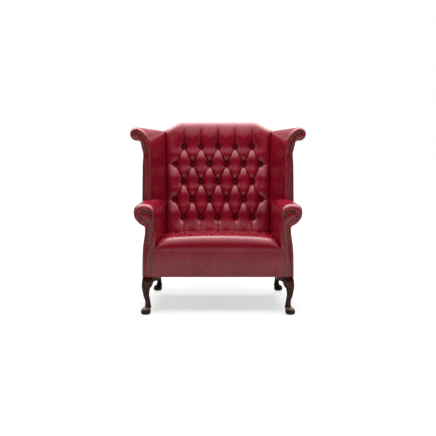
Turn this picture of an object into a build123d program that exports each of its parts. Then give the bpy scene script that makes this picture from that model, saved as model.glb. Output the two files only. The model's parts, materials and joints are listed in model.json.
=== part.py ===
"""Cuddle chair: a wide wing chair with a deep-buttoned back and seat, scrolled arms and wings,
and cabriole legs. Millimetres, +Z up, the sitter faces -Y, and the right side is +X.
The model is laid out from the front face of the arms at y = 0 and moved to its base centre at the end."""
from build123d import *
import math
import os

os.makedirs("parts", exist_ok=True)

# Whole chair
leg_height = 214
arm_half_width = 466
arm_height = 617
arm_inside_front = 342.5
arm_inside_rear = 322
arm_half_width_rear = 455
wing_half_width = 518
wing_height = 1046
wing_front = 300
back_height = 1086
shoulder_height = 1036

# Clearances and cutting overrun
soft_gap = 0.3
overrun = 40

# Seat frame of hardwood
rail_height = 92
rail_thickness = 25
rail_setback = 15
stump_setback = 12
stump_thickness = 32
corner_block_size = 75
corner_block_height = 60
corner_block_drop = 16
dowel_diameter = 10
dowel_length = 50
dowel_spacing = 40
dowel_lift = 7
dowel_fit = 0.1

# Back frame
post_front = 600
post_clearance = 17.824
post_width = 45
post_depth = 45
post_top = 1008
bend_height = 400
rake = 13.5
back_rail_thickness = 30
top_rail_height = 84
crest_padding = 22
bottom_rail_lift = 25
bottom_rail_height = 50

# Arm and wing frame
arm_rail_top = 573
arm_rail_thickness = 25
wing_post_thickness = 25
wing_foot_width = 30
wing_foot_height = 580
wing_foot_lap = 40
wing_rail_size = 22

# Webbing and cloth
strap_width = 50
strap_thickness = 2
seat_strap_columns = 7
seat_strap_rows = 5
back_strap_columns = 5
cloth_thickness = 1.5

# Facings, trims and outside panels
facing_recess = 2
trim_width = 5.5
trim_thickness = 1.5
rim_depth = 26
rim_bulge = 6
outside_thickness = 12.7
outside_back_thickness = 8
dust_cover_thickness = 1
dust_cover_inset = 9
inside_padding = 30

# Buttoned seat
seat_front_height = 426
seat_crown = 18
seat_rear_height = 405
seat_crest_depth = 78
seat_pitch = 130
seat_first_row = 120
seat_row_spacing = 115
seat_tuft_depth = 20
seat_row_count = 3
apron_bulge = 2
apron_top = 375
apron_shoulder = 405

# Buttoned back
back_face = 500
back_face_height = 420
shoulder_half_width = 347
crest_half_width = 236
back_pitch = 108
back_first_row = 485
back_row_spacing = 110.7
back_tuft_depth = 26
back_row_count = 5
crest_start_gap = 5

# Buttons and pleats
button_columns = 5
pocket = 20
pleat = 3
pleat_end = 1
button_radius = 9
button_height = 7
button_sides = 10

# Legs
leg_block = 64
leg_block_front = 30
front_leg_offset = 15.53
rear_leg_offset = 34.176
foot_reach = 18
glide_radius = 11
glide_height = 3
bolt_diameter = 8
bolt_length = 50
bracket_reach = 48
bracket_drop = 18
bracket_depth = 62
bracket_thickness = 34
bracket_setback = 6

rake_slope = math.tan(math.radians(rake))
post_rear = post_front + post_depth
platform_depth = strap_thickness + cloth_thickness
rail_top = leg_height + rail_height
strap_lift = strap_thickness + soft_gap
platform_bottom = rail_top + strap_thickness + strap_lift
platform_top = platform_bottom + cloth_thickness
seat_bottom = platform_top
bottom_rail_start = max(bend_height, seat_rear_height) + bottom_rail_lift

# Outlines of the arm: shares of the arm's half width and height, from the outside of the base
# round the roll to the inside of the base
arm_nail_shares = (
    (0.863, 0.347), (0.858, 0.502), (0.854, 0.648), (0.845, 0.720), (0.837, 0.775), (0.839, 0.815),
    (0.867, 0.838), (0.903, 0.867), (0.923, 0.891), (0.925, 0.911), (0.910, 0.930), (0.882, 0.940),
    (0.852, 0.942), (0.820, 0.935), (0.794, 0.922), (0.775, 0.901), (0.767, 0.875), (0.766, 0.833),
    (0.772, 0.762), (0.785, 0.681), (0.795, 0.600), (0.795, 0.347))
arm_roll_shares = (
    (0.897, 0.347), (0.893, 0.502), (0.880, 0.648), (0.869, 0.721), (0.867, 0.775), (0.872, 0.798),
    (0.910, 0.815), (0.957, 0.844), (0.989, 0.878), (1.000, 0.914), (0.989, 0.953), (0.955, 0.982),
    (0.910, 0.997), (0.858, 1.000), (0.807, 0.992), (0.764, 0.968), (0.741, 0.929), (0.735, 0.875),
    (0.735, 0.762), (0.735, 0.648), (0.735, 0.535), (0.735, 0.347))

# Outlines of the wing: shares of its half width and height, at the rear of the width that fits the post
wing_nail_shares = (
    (0.861, 0.430), (0.847, 0.782), (0.838, 0.873), (0.847, 0.894), (0.863, 0.911), (0.886, 0.928),
    (0.914, 0.940), (0.940, 0.947), (0.954, 0.954), (0.958, 0.962), (0.954, 0.970), (0.941, 0.975),
    (0.915, 0.976), (0.878, 0.964), (0.840, 0.946), (0.817, 0.930), (0.797, 0.911), (0.789, 0.889),
    (0.787, 0.846), (0.800, 0.430))
wing_rim_shares = (
    (0.861, 0.430), (0.861, 0.782), (0.853, 0.872), (0.866, 0.898), (0.884, 0.916), (0.905, 0.928),
    (0.931, 0.925), (0.961, 0.930), (0.986, 0.941), (1.000, 0.960), (0.992, 0.979), (0.969, 0.993),
    (0.931, 1.000), (0.878, 0.994), (0.826, 0.974), (0.792, 0.950), (0.766, 0.923), (0.753, 0.894),
    (0.749, 0.846), (0.749, 0.430))
wing_rear_shares = (
    (0.768, 0.430), (0.768, 0.782), (0.766, 0.840), (0.765, 0.872), (0.764, 0.896), (0.764, 0.912),
    (0.764, 0.926), (0.764, 0.938), (0.763, 0.952), (0.760, 0.966), (0.750, 0.977), (0.734, 0.984),
    (0.710, 0.987), (0.691, 0.985), (0.674, 0.978), (0.659, 0.966), (0.649, 0.946), (0.643, 0.918),
    (0.639, 0.846), (0.622, 0.430))
outside_point_count = 6
wing_inside_start = 12
wing_middle_share = 0.72
wing_neck_point = 6

# How far the padded rim has swelled from the nail line to the full roll, along its depth
rim_shares = ((0.0, 0.50), (0.10, 0.72), (0.34, 0.92), (1.0, 1.0))
rim_throat_share = 0.26

# Cabriole leg: share of the leg's height, share of the foot's reach, share of half the block, roundness
leg_shares = (
    (1.000, 0.00, 1.00, 0.30), (0.900, 0.33, 0.98, 0.50), (0.790, 0.66, 0.86, 0.70),
    (0.687, 0.87, 0.71, 0.80), (0.560, 0.87, 0.55, 0.86), (0.440, 0.67, 0.48, 0.90),
    (0.335, 0.44, 0.45, 0.92), (0.240, 0.36, 0.51, 0.92), (0.160, 0.64, 0.70, 0.92),
    (0.075, 1.00, 0.87, 0.92), (0.025, 1.03, 0.76, 0.92))

sole_share = 0.8

# Underside of a knee bracket: share of half the block, share of the bracket's drop below the rail
bracket_bend_shares = (0.78, 0.62)
bracket_foot_share = 0.35

# Crest of the back: share of the rise above the shoulder, share of the narrowing to the crest
crest_shares = ((0.0, 0.0), (0.04, 0.12), (0.18, 0.27), (0.38, 0.42), (0.62, 0.58), (0.82, 0.73), (0.96, 0.88),
                (1.0, 1.0))
crest_round_shares = (0.0, 0.0, 0.01, 0.04, 0.12, 0.23, 0.40, 0.55)

# How full a cushion is between its pleats, and how steeply its margins rise
cushion_share = 0.96
margin_share = 0.33
pleat_rise_share = 0.3
between_row_shares = (0.25, 0.5, 0.75)

# Front of the seat: share of the turn from the apron to the top, share of the rise to the crest
nose_shares = ((0.22, 0.45), (0.50, 0.80), (0.78, 0.97), (1.0, 1.0))
seat_tail_shares = (0.4, 1.0)

# Ends of the back pad: share of the way to the first or last row of buttons, depth of its pleats
back_foot_shares = ((0.0, 0.20), (0.5, 0.40))
back_head_shares = ((0.1, 0.57), (0.5, 0.45), (1.0, 0.30))
crest_pleat_shares = (0.30, 0.29, 0.26, 0.22, 0.18, 0.15, 0.12, 0.10)

# A button's tiers: share of its radius, share of its height
button_shares = ((1.0, 0.0), (0.96, 0.55), (0.55, 1.0))


def scaled(shares, width, height):
    """Turn a table of shares into outline points."""
    return [(across * width, up * height) for across, up in shares]


def blended(inner, outer, share):
    """Points that lie a share of the way from one outline to another."""
    return [(a + (c - a) * share, b + (d - b) * share) for (a, b), (c, d) in zip(inner, outer)]


def grown(points, distance):
    """Move each point of an open outline along its own outward normal."""
    moved = []
    last = len(points) - 1
    for index, (across, up) in enumerate(points):
        before = points[max(index - 1, 0)]
        after = points[min(index + 1, last)]
        run_x = after[0] - before[0]
        run_z = after[1] - before[1]
        length = math.hypot(run_x, run_z)
        moved.append((across + distance * run_z / length, up - distance * run_x / length))
    return moved


def extended(points, drop):
    """The same open outline with both ends run further down along their flanks."""
    def further(end, inner):
        length = math.hypot(end[0] - inner[0], end[1] - inner[1])
        return (end[0] + (end[0] - inner[0]) * drop / length, end[1] + (end[1] - inner[1]) * drop / length)

    return [further(points[0], points[1])] + list(points[1:-1]) + [further(points[-1], points[-2])]


def outline_wire(points, depth_at):
    """An outline with straight flanks, a smooth curve between them and a straight foot."""
    placed = [Vector(across, depth_at(up), up) for across, up in points]
    rise = Edge.make_line(placed[0], placed[1])
    fall = Edge.make_line(placed[-2], placed[-1])
    directions = [(placed[1] - placed[0]).normalized(), (placed[-1] - placed[-2]).normalized()]
    curve = Edge.make_spline(placed[1:-1], tangents=directions)
    foot = Edge.make_line(placed[-1], placed[0])
    return Wire([rise, curve, fall, foot])


def polygon_wire(points, depth_at):
    """A straight-sided outline in the upright plane across the chair."""
    placed = [Vector(across, depth_at(up), up) for across, up in points]
    return Wire.make_polygon(placed, close=True)


def level(depth):
    """A constant depth, for an outline in an upright plane."""
    return lambda up: depth


def board(points, start, thickness):
    """A board whose smooth outline faces the front."""
    face = Face(outline_wire(points, level(start)))
    return Solid.extrude(face, Vector(0, thickness, 0))


def plan_prism(points, bottom, height):
    """An upright prism on a plan outline."""
    face = Face(Wire.make_polygon([Vector(x, y, bottom) for x, y in points], close=True))
    return Solid.extrude(face, Vector(0, 0, height))


def side_prism(points, start, width):
    """A prism on an outline of depth and height, run across the chair."""
    face = Face(Wire.make_polygon([Vector(start, y, z) for y, z in points], close=True))
    return Solid.extrude(face, Vector(width, 0, 0))


def front_prism(points, start, depth):
    """A prism on an outline of width and height, run from front to back."""
    face = Face(polygon_wire(points, level(start)))
    return Solid.extrude(face, Vector(0, depth, 0))


def both(points):
    """Close a half plan outline with its mirror image."""
    return list(points) + [(-x, y) for x, y in reversed(points)]


def mirrored(piece):
    """The same piece on the other side of the chair."""
    return piece.mirror(Plane.YZ)


def post_plane(height):
    """Depth of the front faces of the back posts: upright below the seat, raked above it."""
    return post_front + max(height - bend_height, 0) * rake_slope


def raked_slab(start, thickness, bottom, top, half_width):
    """A slab that follows the raked plane of the back, start behind the front of the posts."""
    outline = ((post_plane(bottom) + start, bottom), (post_plane(bottom) + start + thickness, bottom),
               (post_plane(top) + start + thickness, top), (post_plane(top) + start, top))
    return side_prism(outline, -half_width, 2 * half_width)


arm_nails = scaled(arm_nail_shares, arm_half_width, arm_height)
arm_roll = scaled(arm_roll_shares, arm_half_width, arm_height)
wing_nails = scaled(wing_nail_shares, wing_half_width, wing_height)
wing_rim = scaled(wing_rim_shares, wing_half_width, wing_height)
arm_rear = post_rear
arm_skirt = arm_roll[outside_point_count - 1][1]
arm_spread_share = (arm_half_width_rear - arm_inside_rear) / (arm_half_width - arm_inside_front)


def inward(across, depth):
    """Where a line that starts at this half width behind the arm's rim has come to at a depth."""
    rear = arm_inside_rear + (across - arm_inside_front) * arm_spread_share
    return across + (rear - across) * (depth - rim_depth) / (arm_rear - rim_depth)


def drawn_in(points):
    """An outline of the arm's front as it is at the rear of the arm."""
    return [(inward(across, arm_rear), up) for across, up in points]


side_rail_inside = arm_nails[-1][0]
side_rail_outside = arm_nails[0][0]
post_inside = arm_inside_rear + post_clearance
post_outside = post_inside + post_width
wing_rear_width = (post_outside + outside_thickness + soft_gap) / wing_rear_shares[0][0]
wing_rear = scaled(wing_rear_shares, wing_rear_width, wing_height)
stump_rear = stump_setback + stump_thickness
wing_post_front = wing_front + stump_setback
wing_post_rear = wing_post_front + wing_post_thickness
rear_rail_front = post_front + (post_depth - rail_thickness) / 2
leg_centres = ((side_rail_inside + front_leg_offset, leg_block_front),
               (post_inside + rear_leg_offset, post_front + post_depth / 2))


# Seat frame
def dowel_places():
    """Where the dowels of the front and rear rails stand, on the right side."""
    middle = leg_height + rail_height / 2 + dowel_lift
    rows = ((side_rail_inside, rail_setback + rail_thickness / 2),
            (post_inside, rear_rail_front + rail_thickness / 2))
    return [(x, y, middle + side * dowel_spacing / 2) for x, y in rows for side in (-1, 1)]


def dowel(place, fit):
    """A dowel across the chair, centred on a joint."""
    x, y, z = place
    pin = Solid.make_cylinder(dowel_diameter / 2 + fit, dowel_length + 2 * fit,
                              Plane(origin=(x - dowel_length / 2 - fit, y, z), z_dir=(1, 0, 0)))
    return pin


def with_dowel_holes(piece):
    """Bore a piece for the dowels of both sides."""
    for place in dowel_places():
        hole = dowel(place, dowel_fit)
        piece = piece - hole
        piece = piece - mirrored(hole)
    return piece


def rail_across(half_width, front):
    """A seat rail from side to side, bored for its dowels."""
    plan = both([(half_width, front), (half_width, front + rail_thickness)])
    return with_dowel_holes(plan_prism(plan, leg_height, rail_height))


def side_rail():
    """The side rail runs from the arm stump to the back post and draws in with the arm."""
    plan = [(side_rail_inside, stump_rear), (side_rail_outside, stump_rear),
            (inward(side_rail_outside, post_front), post_front),
            (inward(side_rail_inside, post_front), post_front)]
    return plan_prism(plan, leg_height, rail_height)


def corner_blocks():
    """Four glued blocks brace the corners of the seat frame."""
    front = rail_setback + rail_thickness
    reach = front + corner_block_size
    inside = side_rail_inside - soft_gap
    front_plan = [(inside - corner_block_size, front), (inside, front),
                  (inside, stump_rear), (inward(inside, reach), reach)]
    rear_reach = post_front - corner_block_size
    edge = post_front - soft_gap
    rear_plan = [(post_inside - corner_block_size, rear_rail_front),
                 (post_inside - soft_gap, rear_rail_front), (post_inside - soft_gap, edge),
                 (inward(inside, edge), edge), (inward(inside, rear_reach), rear_reach)]
    blocks = []
    for plan in (front_plan, rear_plan):
        block = plan_prism(plan, leg_height + corner_block_drop, corner_block_height)
        blocks += [block, mirrored(block)]
    return Compound(blocks)


def bolt(centre, fit):
    """A hanger bolt, half in the leg and half in the frame above it."""
    x, y = centre
    base = Plane(origin=(x, y, leg_height - bolt_length / 2 - fit), z_dir=(0, 0, 1))
    return Solid.make_cylinder(bolt_diameter / 2 + fit, bolt_length + 2 * fit, base)


def bored_for_bolt(piece, centre):
    """Bore a piece for the hanger bolt of the leg beneath it."""
    return piece - bolt(centre, dowel_fit)


# Frame of the back
def back_post():
    """An upright that rakes back above the seat."""
    top = post_plane(post_top)
    outline = ((post_front, leg_height), (post_rear, leg_height), (post_rear, bend_height),
               (top + post_depth, post_top), (top, post_top), (post_front, bend_height))
    post = side_prism(outline, post_inside, post_width)
    return bored_for_bolt(with_dowel_holes(post), leg_centres[1])


def post_cutter():
    """Everything behind the front plane of the posts, to trim what butts against them."""
    top = wing_height + overrun
    outline = ((post_front, leg_height - overrun), (post_front, bend_height), (post_plane(top), top),
               (post_plane(top) + post_depth + overrun, top), (post_rear + overrun, leg_height - overrun))
    return side_prism(outline, -wing_half_width - overrun, 2 * (wing_half_width + overrun))


def crest_outline(lowering, bottom):
    """The camel-backed outline of the back, lowered by its padding."""
    rise = back_height - shoulder_height
    narrowing = shoulder_half_width - crest_half_width
    half = [(shoulder_half_width - narrowing * across, shoulder_height + rise * up - lowering)
            for up, across in crest_shares]
    start = [(shoulder_half_width, bottom)]
    return both(start + half)


def back_top_rail():
    """The top rail is sawn to the crest and stands between the posts."""
    bottom = shoulder_height - crest_padding - top_rail_height / 2
    shape = front_prism(crest_outline(crest_padding, bottom), post_front, back_height)
    slab = raked_slab(0, back_rail_thickness, bottom, back_height, post_inside)
    return (shape & slab).solid()


# Frame of the arms and wings
def arm_stump():
    """The front upright of the arm is a board sawn to the scroll."""
    stump = board(arm_nails, stump_setback, stump_thickness)
    return bored_for_bolt(with_dowel_holes(stump), leg_centres[0])


def arm_rail_plan(inner, outer):
    """Plan of the arm rail, between the stump and the front of the post."""
    end = post_plane(arm_rail_top) + overrun
    return [(inner, stump_rear), (outer, stump_rear), (inward(outer, end), end), (inward(inner, end), end)]


def arm_rail():
    """The flat rail that the arm's roll is built on."""
    outer = max(across for across, up in arm_nails)
    plan = arm_rail_plan(side_rail_inside, outer)
    rail = plan_prism(plan, arm_rail_top - arm_rail_thickness, arm_rail_thickness)
    return rail - post_cutter()


def flank_at(low_point, high_point, height):
    """Where a straight flank of an outline stands at a height."""
    (low_x, low_z), (high_x, high_z) = low_point, high_point
    return low_x + (high_x - low_x) * (height - low_z) / (high_z - low_z)


def wing_post(gap):
    """The wing's upright is sawn to the scroll, and its foot leans over to stand on the arm rail."""
    above = board(grown(wing_nails, gap), wing_post_front - gap, wing_post_thickness + 2 * gap)
    top = arm_height + soft_gap
    joint = top + wing_foot_lap
    low = front_prism([(-arm_half_width, leg_height), (wing_half_width, leg_height),
                       (wing_half_width, top), (-arm_half_width, top)],
                      wing_post_front - overrun, wing_post_thickness + 2 * overrun)
    edge = inward(max(across for across, up in arm_nails), wing_post_rear)
    inner = flank_at(wing_nails[-1], wing_nails[-2], joint)
    outer = flank_at(wing_nails[0], wing_nails[1], joint)
    foot = front_prism([(edge - wing_foot_width - gap, arm_rail_top), (edge + gap, arm_rail_top),
                        (outer + gap, joint), (inner - gap, joint)],
                       wing_post_front - gap, wing_post_thickness + 2 * gap)
    return ((above - low) + foot).solid()


def square_wire(centre, size, depth):
    """A square section of the wing rail."""
    x, z = centre
    half = size / 2
    corners = [(x - half, z - half), (x + half, z - half), (x + half, z + half), (x - half, z + half)]
    return polygon_wire(corners, level(depth))


def wing_rail(gap):
    """The top rail of the wing, from the scroll of its post back to the back post."""
    front_centre = blended(wing_nails, wing_nails[::-1], 0.5)[wing_neck_point]
    rear_centre = ((post_inside + post_outside) / 2, post_top - wing_rail_size)
    end = post_plane(post_top) + overrun
    size = wing_rail_size + 2 * gap
    start = wing_post_rear - gap
    bar = Solid.make_loft([square_wire(front_centre, size, start), square_wire(rear_centre, size, end)], True)
    return bar - post_cutter()


# Soft parts of the arm
def rimmed(nails, full, front):
    """Front sections of an arm or wing: the padded rim swells from the nail line to the full roll."""
    start = front - rim_bulge
    depth = rim_depth + rim_bulge
    return [outline_wire(blended(nails, full, swell), level(start + depth * share))
            for share, swell in rim_shares]


def rim_throat(nails, full, front):
    """The mouth in the rim that the facing and its board stand in."""
    clear = extended(grown(nails, soft_gap), overrun)
    swelled = extended(blended(nails, full, rim_throat_share), overrun)
    mouth = outline_wire(swelled, level(front - rim_bulge - soft_gap))
    neck = outline_wire(clear, level(front + facing_recess))
    end = outline_wire(clear, level(front + stump_setback + stump_thickness + soft_gap))
    return Solid.make_loft([mouth, neck, end], True)


def arm_envelope(gap):
    """The outside of the whole arm, with a margin."""
    sections = rimmed(grown(arm_nails, gap), grown(arm_roll, gap), -gap)
    sections.append(outline_wire(grown(drawn_in(arm_roll), gap), level(arm_rear + gap)))
    return Solid.make_loft(sections, True)


def arm_hollow():
    """The space inside the arm, open below, between the stump and the back post."""
    rail_outer = max(across for across, up in arm_nails)
    rail_bottom = arm_rail_top - arm_rail_thickness
    inner = arm_inside_front + inside_padding
    shape = [(inner, leg_height - overrun), (inner, rail_bottom), (rail_outer, rail_bottom),
             (rail_outer, arm_skirt), (arm_half_width + overrun, arm_skirt),
             (arm_half_width + overrun, leg_height - overrun)]
    front = polygon_wire(shape, level(stump_rear))
    rear = polygon_wire([(inward(x, post_front), z) for x, z in shape], level(post_front))
    return Solid.make_loft([front, rear], True)


def arm_rail_slot():
    """The slot in the padding that the arm rail lies in."""
    outer = max(across for across, up in arm_nails) + soft_gap
    plan = arm_rail_plan(side_rail_inside - soft_gap, outer)
    slot = plan_prism(plan, arm_rail_top - arm_rail_thickness - soft_gap, arm_rail_thickness + 2 * soft_gap)
    return slot - post_cutter()


def below_roll_at_rear():
    """Trims the arm beside the back post, below the roll."""
    wide = arm_half_width + overrun
    return front_prism([(post_outside, leg_height - overrun), (wide, leg_height - overrun),
                        (wide, arm_skirt), (post_outside, arm_skirt)], post_front, post_depth + overrun)


def padded_post():
    """The back post with a clearance all round, for what is padded over it."""
    low = leg_height - overrun
    top = post_plane(post_top)
    outline = ((post_front - soft_gap, low), (post_rear + overrun, low), (post_rear + overrun, bend_height),
               (top + post_depth + overrun, post_top + soft_gap), (top - soft_gap, post_top + soft_gap),
               (post_front - soft_gap, bend_height))
    return side_prism(outline, post_inside - soft_gap, post_width + 2 * soft_gap)


def outside_skirt():
    """Trims the outside of the arm below the roll, where the outside panel hangs."""
    inner = grown(arm_nails, -trim_width)[:outside_point_count]
    low = leg_height - overrun
    wide = arm_half_width + overrun
    shape = [(inner[0][0], low)] + inner[:-1] + [(inner[-2][0], arm_skirt), (wide, arm_skirt), (wide, low)]
    return front_prism(shape, rim_depth + soft_gap / 2, stump_thickness)


def apron_space():
    """Below the seat's shoulder the front of the seat runs out to the facing."""
    clear = side_rail_inside - soft_gap
    inside = arm_inside_front - soft_gap
    shape = [(0, 0), (clear + soft_gap, 0), (clear + soft_gap, apron_top), (inside, apron_shoulder),
             (0, apron_shoulder)]
    return front_prism(shape, -rim_bulge - overrun, rim_bulge + overrun + stump_rear)


def floor_space():
    """Everything under the seat's platform, between the stumps and, behind them, out to the panels."""
    wide = arm_half_width + overrun
    between_stumps = front_prism([(0, 0), (side_rail_inside, 0), (side_rail_inside, platform_top),
                                  (0, platform_top)], -overrun, wide * 2)
    behind = front_prism([(0, 0), (wide, 0), (wide, platform_top), (0, platform_top)],
                         stump_rear, wide * 2)
    return between_stumps + behind


def arm_pad():
    """The padded inside of the arm with its roll, open below round the frame."""
    pad = arm_envelope(0)
    pad = pad - rim_throat(arm_nails, arm_roll, 0)
    pad = pad - arm_hollow()
    pad = pad - arm_rail_slot()
    pad = pad - outside_skirt()
    pad = pad - apron_space()
    pad = pad - floor_space()
    pad = pad - below_roll_at_rear()
    pad = pad - raked_slab(-soft_gap, post_depth + overrun, bend_height, arm_height + overrun,
                           post_inside + soft_gap)
    pad = pad - padded_post()
    pad = pad - wing_post(soft_gap)
    return pad.solids().sort_by(SortBy.VOLUME)[-1]


def outside_panel(front_line, rear_line, thickness, start, depth_at):
    """A thin padded panel on the outside of an arm or wing."""
    front = list(front_line) + grown(front_line, -thickness)[::-1]
    rear = list(rear_line) + grown(rear_line, -thickness)[::-1]
    sections = [polygon_wire(front, level(start)), polygon_wire(rear, depth_at)]
    return Solid.make_loft(sections, True)


def outside_arm():
    """The outside arm panel hangs from the roll to the base."""
    line = arm_roll[:outside_point_count]
    panel = outside_panel(line, drawn_in(line), outside_thickness, rim_depth + soft_gap, level(post_rear))
    panel = panel - arm_hollow_core()
    top = arm_skirt - soft_gap
    return (panel & front_prism([(0, leg_height), (wing_half_width, leg_height), (wing_half_width, top),
                                 (0, top)], 0, post_rear + overrun)).solid()


def arm_hollow_core():
    """What stands behind the outside arm panel: the stump, the side rail and the back post."""
    stump = board(grown(arm_nails, soft_gap), 0, stump_rear + soft_gap)
    rail = side_rail()
    post = side_prism(((post_front - soft_gap, leg_height), (post_rear + overrun, leg_height),
                       (post_rear + overrun, arm_height), (post_front - soft_gap, arm_height)),
                      0, post_outside + soft_gap)
    return stump + rail + post


# Soft parts of the wing
def wing_rear_plane(height):
    """Depth of the wing's rear end, in line with the rear of the raked back posts."""
    return post_rear + (height - bend_height) * rake_slope


def wing_middle():
    """The wing's outline where it meets the face of the back: its inside has come in fully."""
    middle_shares = [wing_middle_share] * wing_inside_start + [1] * (len(wing_rear) - wing_inside_start)
    return [(between(front_x, rear_x, share), between(front_z, rear_z, share))
            for (front_x, front_z), (rear_x, rear_z), share in zip(wing_rim, wing_rear, middle_shares)]


def wing_envelope():
    """The outside of the whole wing, from its rim to the rear of the back post."""
    sections = rimmed(wing_nails, wing_rim, wing_front)
    sections.append(outline_wire(wing_middle(), back_front))
    sections.append(outline_wire(wing_rear, wing_rear_plane))
    return Solid.make_loft(sections, True)


def wing_side(outward, thickness, start):
    """The layer on the outside of the wing, from its rim back over the post, below the scroll."""
    planes = (level(start), back_front, wing_rear_plane)
    sections = []
    for outline, plane in zip((wing_rim, wing_middle(), wing_rear), planes):
        line = outline[:outside_point_count]
        loop = grown(line, outward) + grown(line, -thickness)[::-1]
        sections.append(polygon_wire(loop, plane))
    return Solid.make_loft(sections, True)


def under_wing():
    """Below the wing, down to the bend of the posts, ahead of the rear end of the arm."""
    wide = wing_half_width + overrun
    return front_prism([(0, 0), (wide, 0), (wide, wing_foot_height), (0, wing_foot_height)],
                       0, arm_rear + soft_gap)


def wing_pad():
    """The padded inside of the wing with its rim and scroll."""
    between_posts = raked_slab(-soft_gap, post_depth + overrun, bend_height, wing_height,
                               post_inside + soft_gap)
    pad = wing_envelope()
    pad = pad - rim_throat(wing_nails, wing_rim, wing_front)
    pad = pad - wing_side(overrun / 2, outside_thickness + soft_gap, wing_front + rim_depth)
    pad = pad - wing_rail(soft_gap)
    pad = pad - under_wing()
    pad = pad - arm_envelope(soft_gap)
    pad = pad - wing_post(soft_gap)
    pad = pad - between_posts
    pad = pad - padded_post()
    return pad.solids().sort_by(SortBy.VOLUME)[-1]


def outside_wing():
    """The outside wing panel runs from the rim back over the post."""
    panel = wing_side(0, outside_thickness, wing_front + rim_depth)
    panel = panel - under_wing()
    panel = panel - arm_envelope(soft_gap)
    panel = panel - wing_post(soft_gap)
    panel = panel - padded_post()
    return panel.solids().sort_by(SortBy.VOLUME)[-1]


# Facings and nail trims
def trim(points, front):
    """The band that carries the nails, just inside the edge of a facing."""
    outer = board(grown(points, -soft_gap), front + facing_recess - trim_thickness, trim_thickness)
    low = points[0][1]
    inner = board(grown(points, -trim_width), front + facing_recess - trim_thickness, trim_thickness)
    lift = front_prism([(0, low - overrun), (wing_half_width, low - overrun),
                        (wing_half_width, low + trim_width), (0, low + trim_width)],
                       front, facing_recess)
    return outer - (inner - lift)


def above_arm(piece):
    """The part of a wing piece that stands clear above the arm's roll."""
    return (piece - arm_envelope(soft_gap)).solids().sort_by(SortBy.VOLUME)[-1]


# Buttoned pads
def tufted_section(place, half_width, pitch, spread, parting, groove, top, edge_drop):
    """One cross-section of a buttoned pad, as arcs between pleats.

    Each of the five columns has a pair of pleats a parting apart, and spread says how far the pairs
    have moved out from their own buttons, at 0, to the buttons of the next row, at 1.
    place turns a width and a height into a point, and top gives the pad's height at a width."""
    creases = []
    for index in range(button_columns):
        column = index - (button_columns - 1) / 2
        for side in (-1, 1):
            centre = pitch * (column + side * spread / 2)
            creases.append((column * pitch + side * parting / 2, top(centre) - groove))
    shelf = between(pleat, pocket, spread)
    outer = creases[-1][0] + shelf
    rim = half_width
    points = [(-rim, top(rim) - edge_drop), (-outer, creases[0][1])] + creases
    points += [(outer, creases[-1][1]), (rim, top(rim) - edge_drop)]
    edges = []
    for index in range(len(points) - 1):
        (x1, h1), (x2, h2) = points[index], points[index + 1]
        middle = (x1 + x2) / 2
        fill = math.sqrt(max(x2 - x1 - pocket, 0) / (pitch - 2 * pocket)) if groove else 0
        swell = groove * min(fill, 1) * cushion_share
        crown = (h1 + h2) / 2 + swell
        if index in (0, len(points) - 2):
            crown = min(top(middle), (h1 + h2) / 2 + (x2 - x1) * margin_share)
        if crown - (h1 + h2) / 2 < soft_gap:
            edges.append(Edge.make_line(place(x1, h1), place(x2, h2)))
            continue
        edges.append(Edge.make_three_point_arc(place(x1, h1), place(middle, crown), place(x2, h2)))
    edges.append(Edge.make_line(place(rim, points[-1][1]), place(rim, 0)))
    edges.append(Edge.make_line(place(rim, 0), place(-rim, 0)))
    edges.append(Edge.make_line(place(-rim, 0), place(-rim, points[0][1])))
    return Wire(edges)


def between(first, last, share):
    """A value a share of the way from one to another."""
    return first + (last - first) * share


def row_steps(rows, first_spread):
    """Stations along a buttoned pad: each row of buttons has a flat pocket, and pleats cross between."""
    steps = []
    for index, row in enumerate(rows):
        spread = (index + first_spread) % 2
        low = row - pocket / 2
        high = row + pocket / 2
        steps += [(low, spread, 1.0), (high, spread, 1.0)]
        if index + 1 < len(rows):
            end = rows[index + 1] - pocket / 2
            for share in between_row_shares:
                turned = share if spread == 0 else 1 - share
                steps.append((between(high, end, share), turned, 1 - pleat_rise_share * math.sin(math.pi * share)))
    return steps


def seat_height(depth):
    """Height of the seat at its sides: level at the crest, then falling to the back."""
    return seat_front_height - max(min(depth, seat_tail) - seat_crest_depth, 0) * seat_fall


def seat_half_width(depth):
    """Half the seat's width between the arms."""
    return inward(arm_inside_front, max(depth, rim_depth)) - soft_gap


def seat_section(inner, outer, half_width, spread, parting, groove, dome, edge_drop):
    """A section of the seat between a point on its underside and a point on its face."""
    (y0, z0), (y1, z1) = inner, outer
    reach = math.hypot(y1 - y0, z1 - z0)

    def place(across, height):
        share = height / reach
        return Vector(across, between(y0, y1, share), between(z0, z1, share))

    def top(across):
        return reach + dome * (1 - (across / half_width) ** 2)

    return tufted_section(place, half_width, seat_pitch, spread, parting, groove, top, edge_drop)


def seat_rows():
    """Depths of the three rows of buttons of the seat."""
    return [seat_first_row + row * seat_row_spacing for row in range(seat_row_count)]


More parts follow.
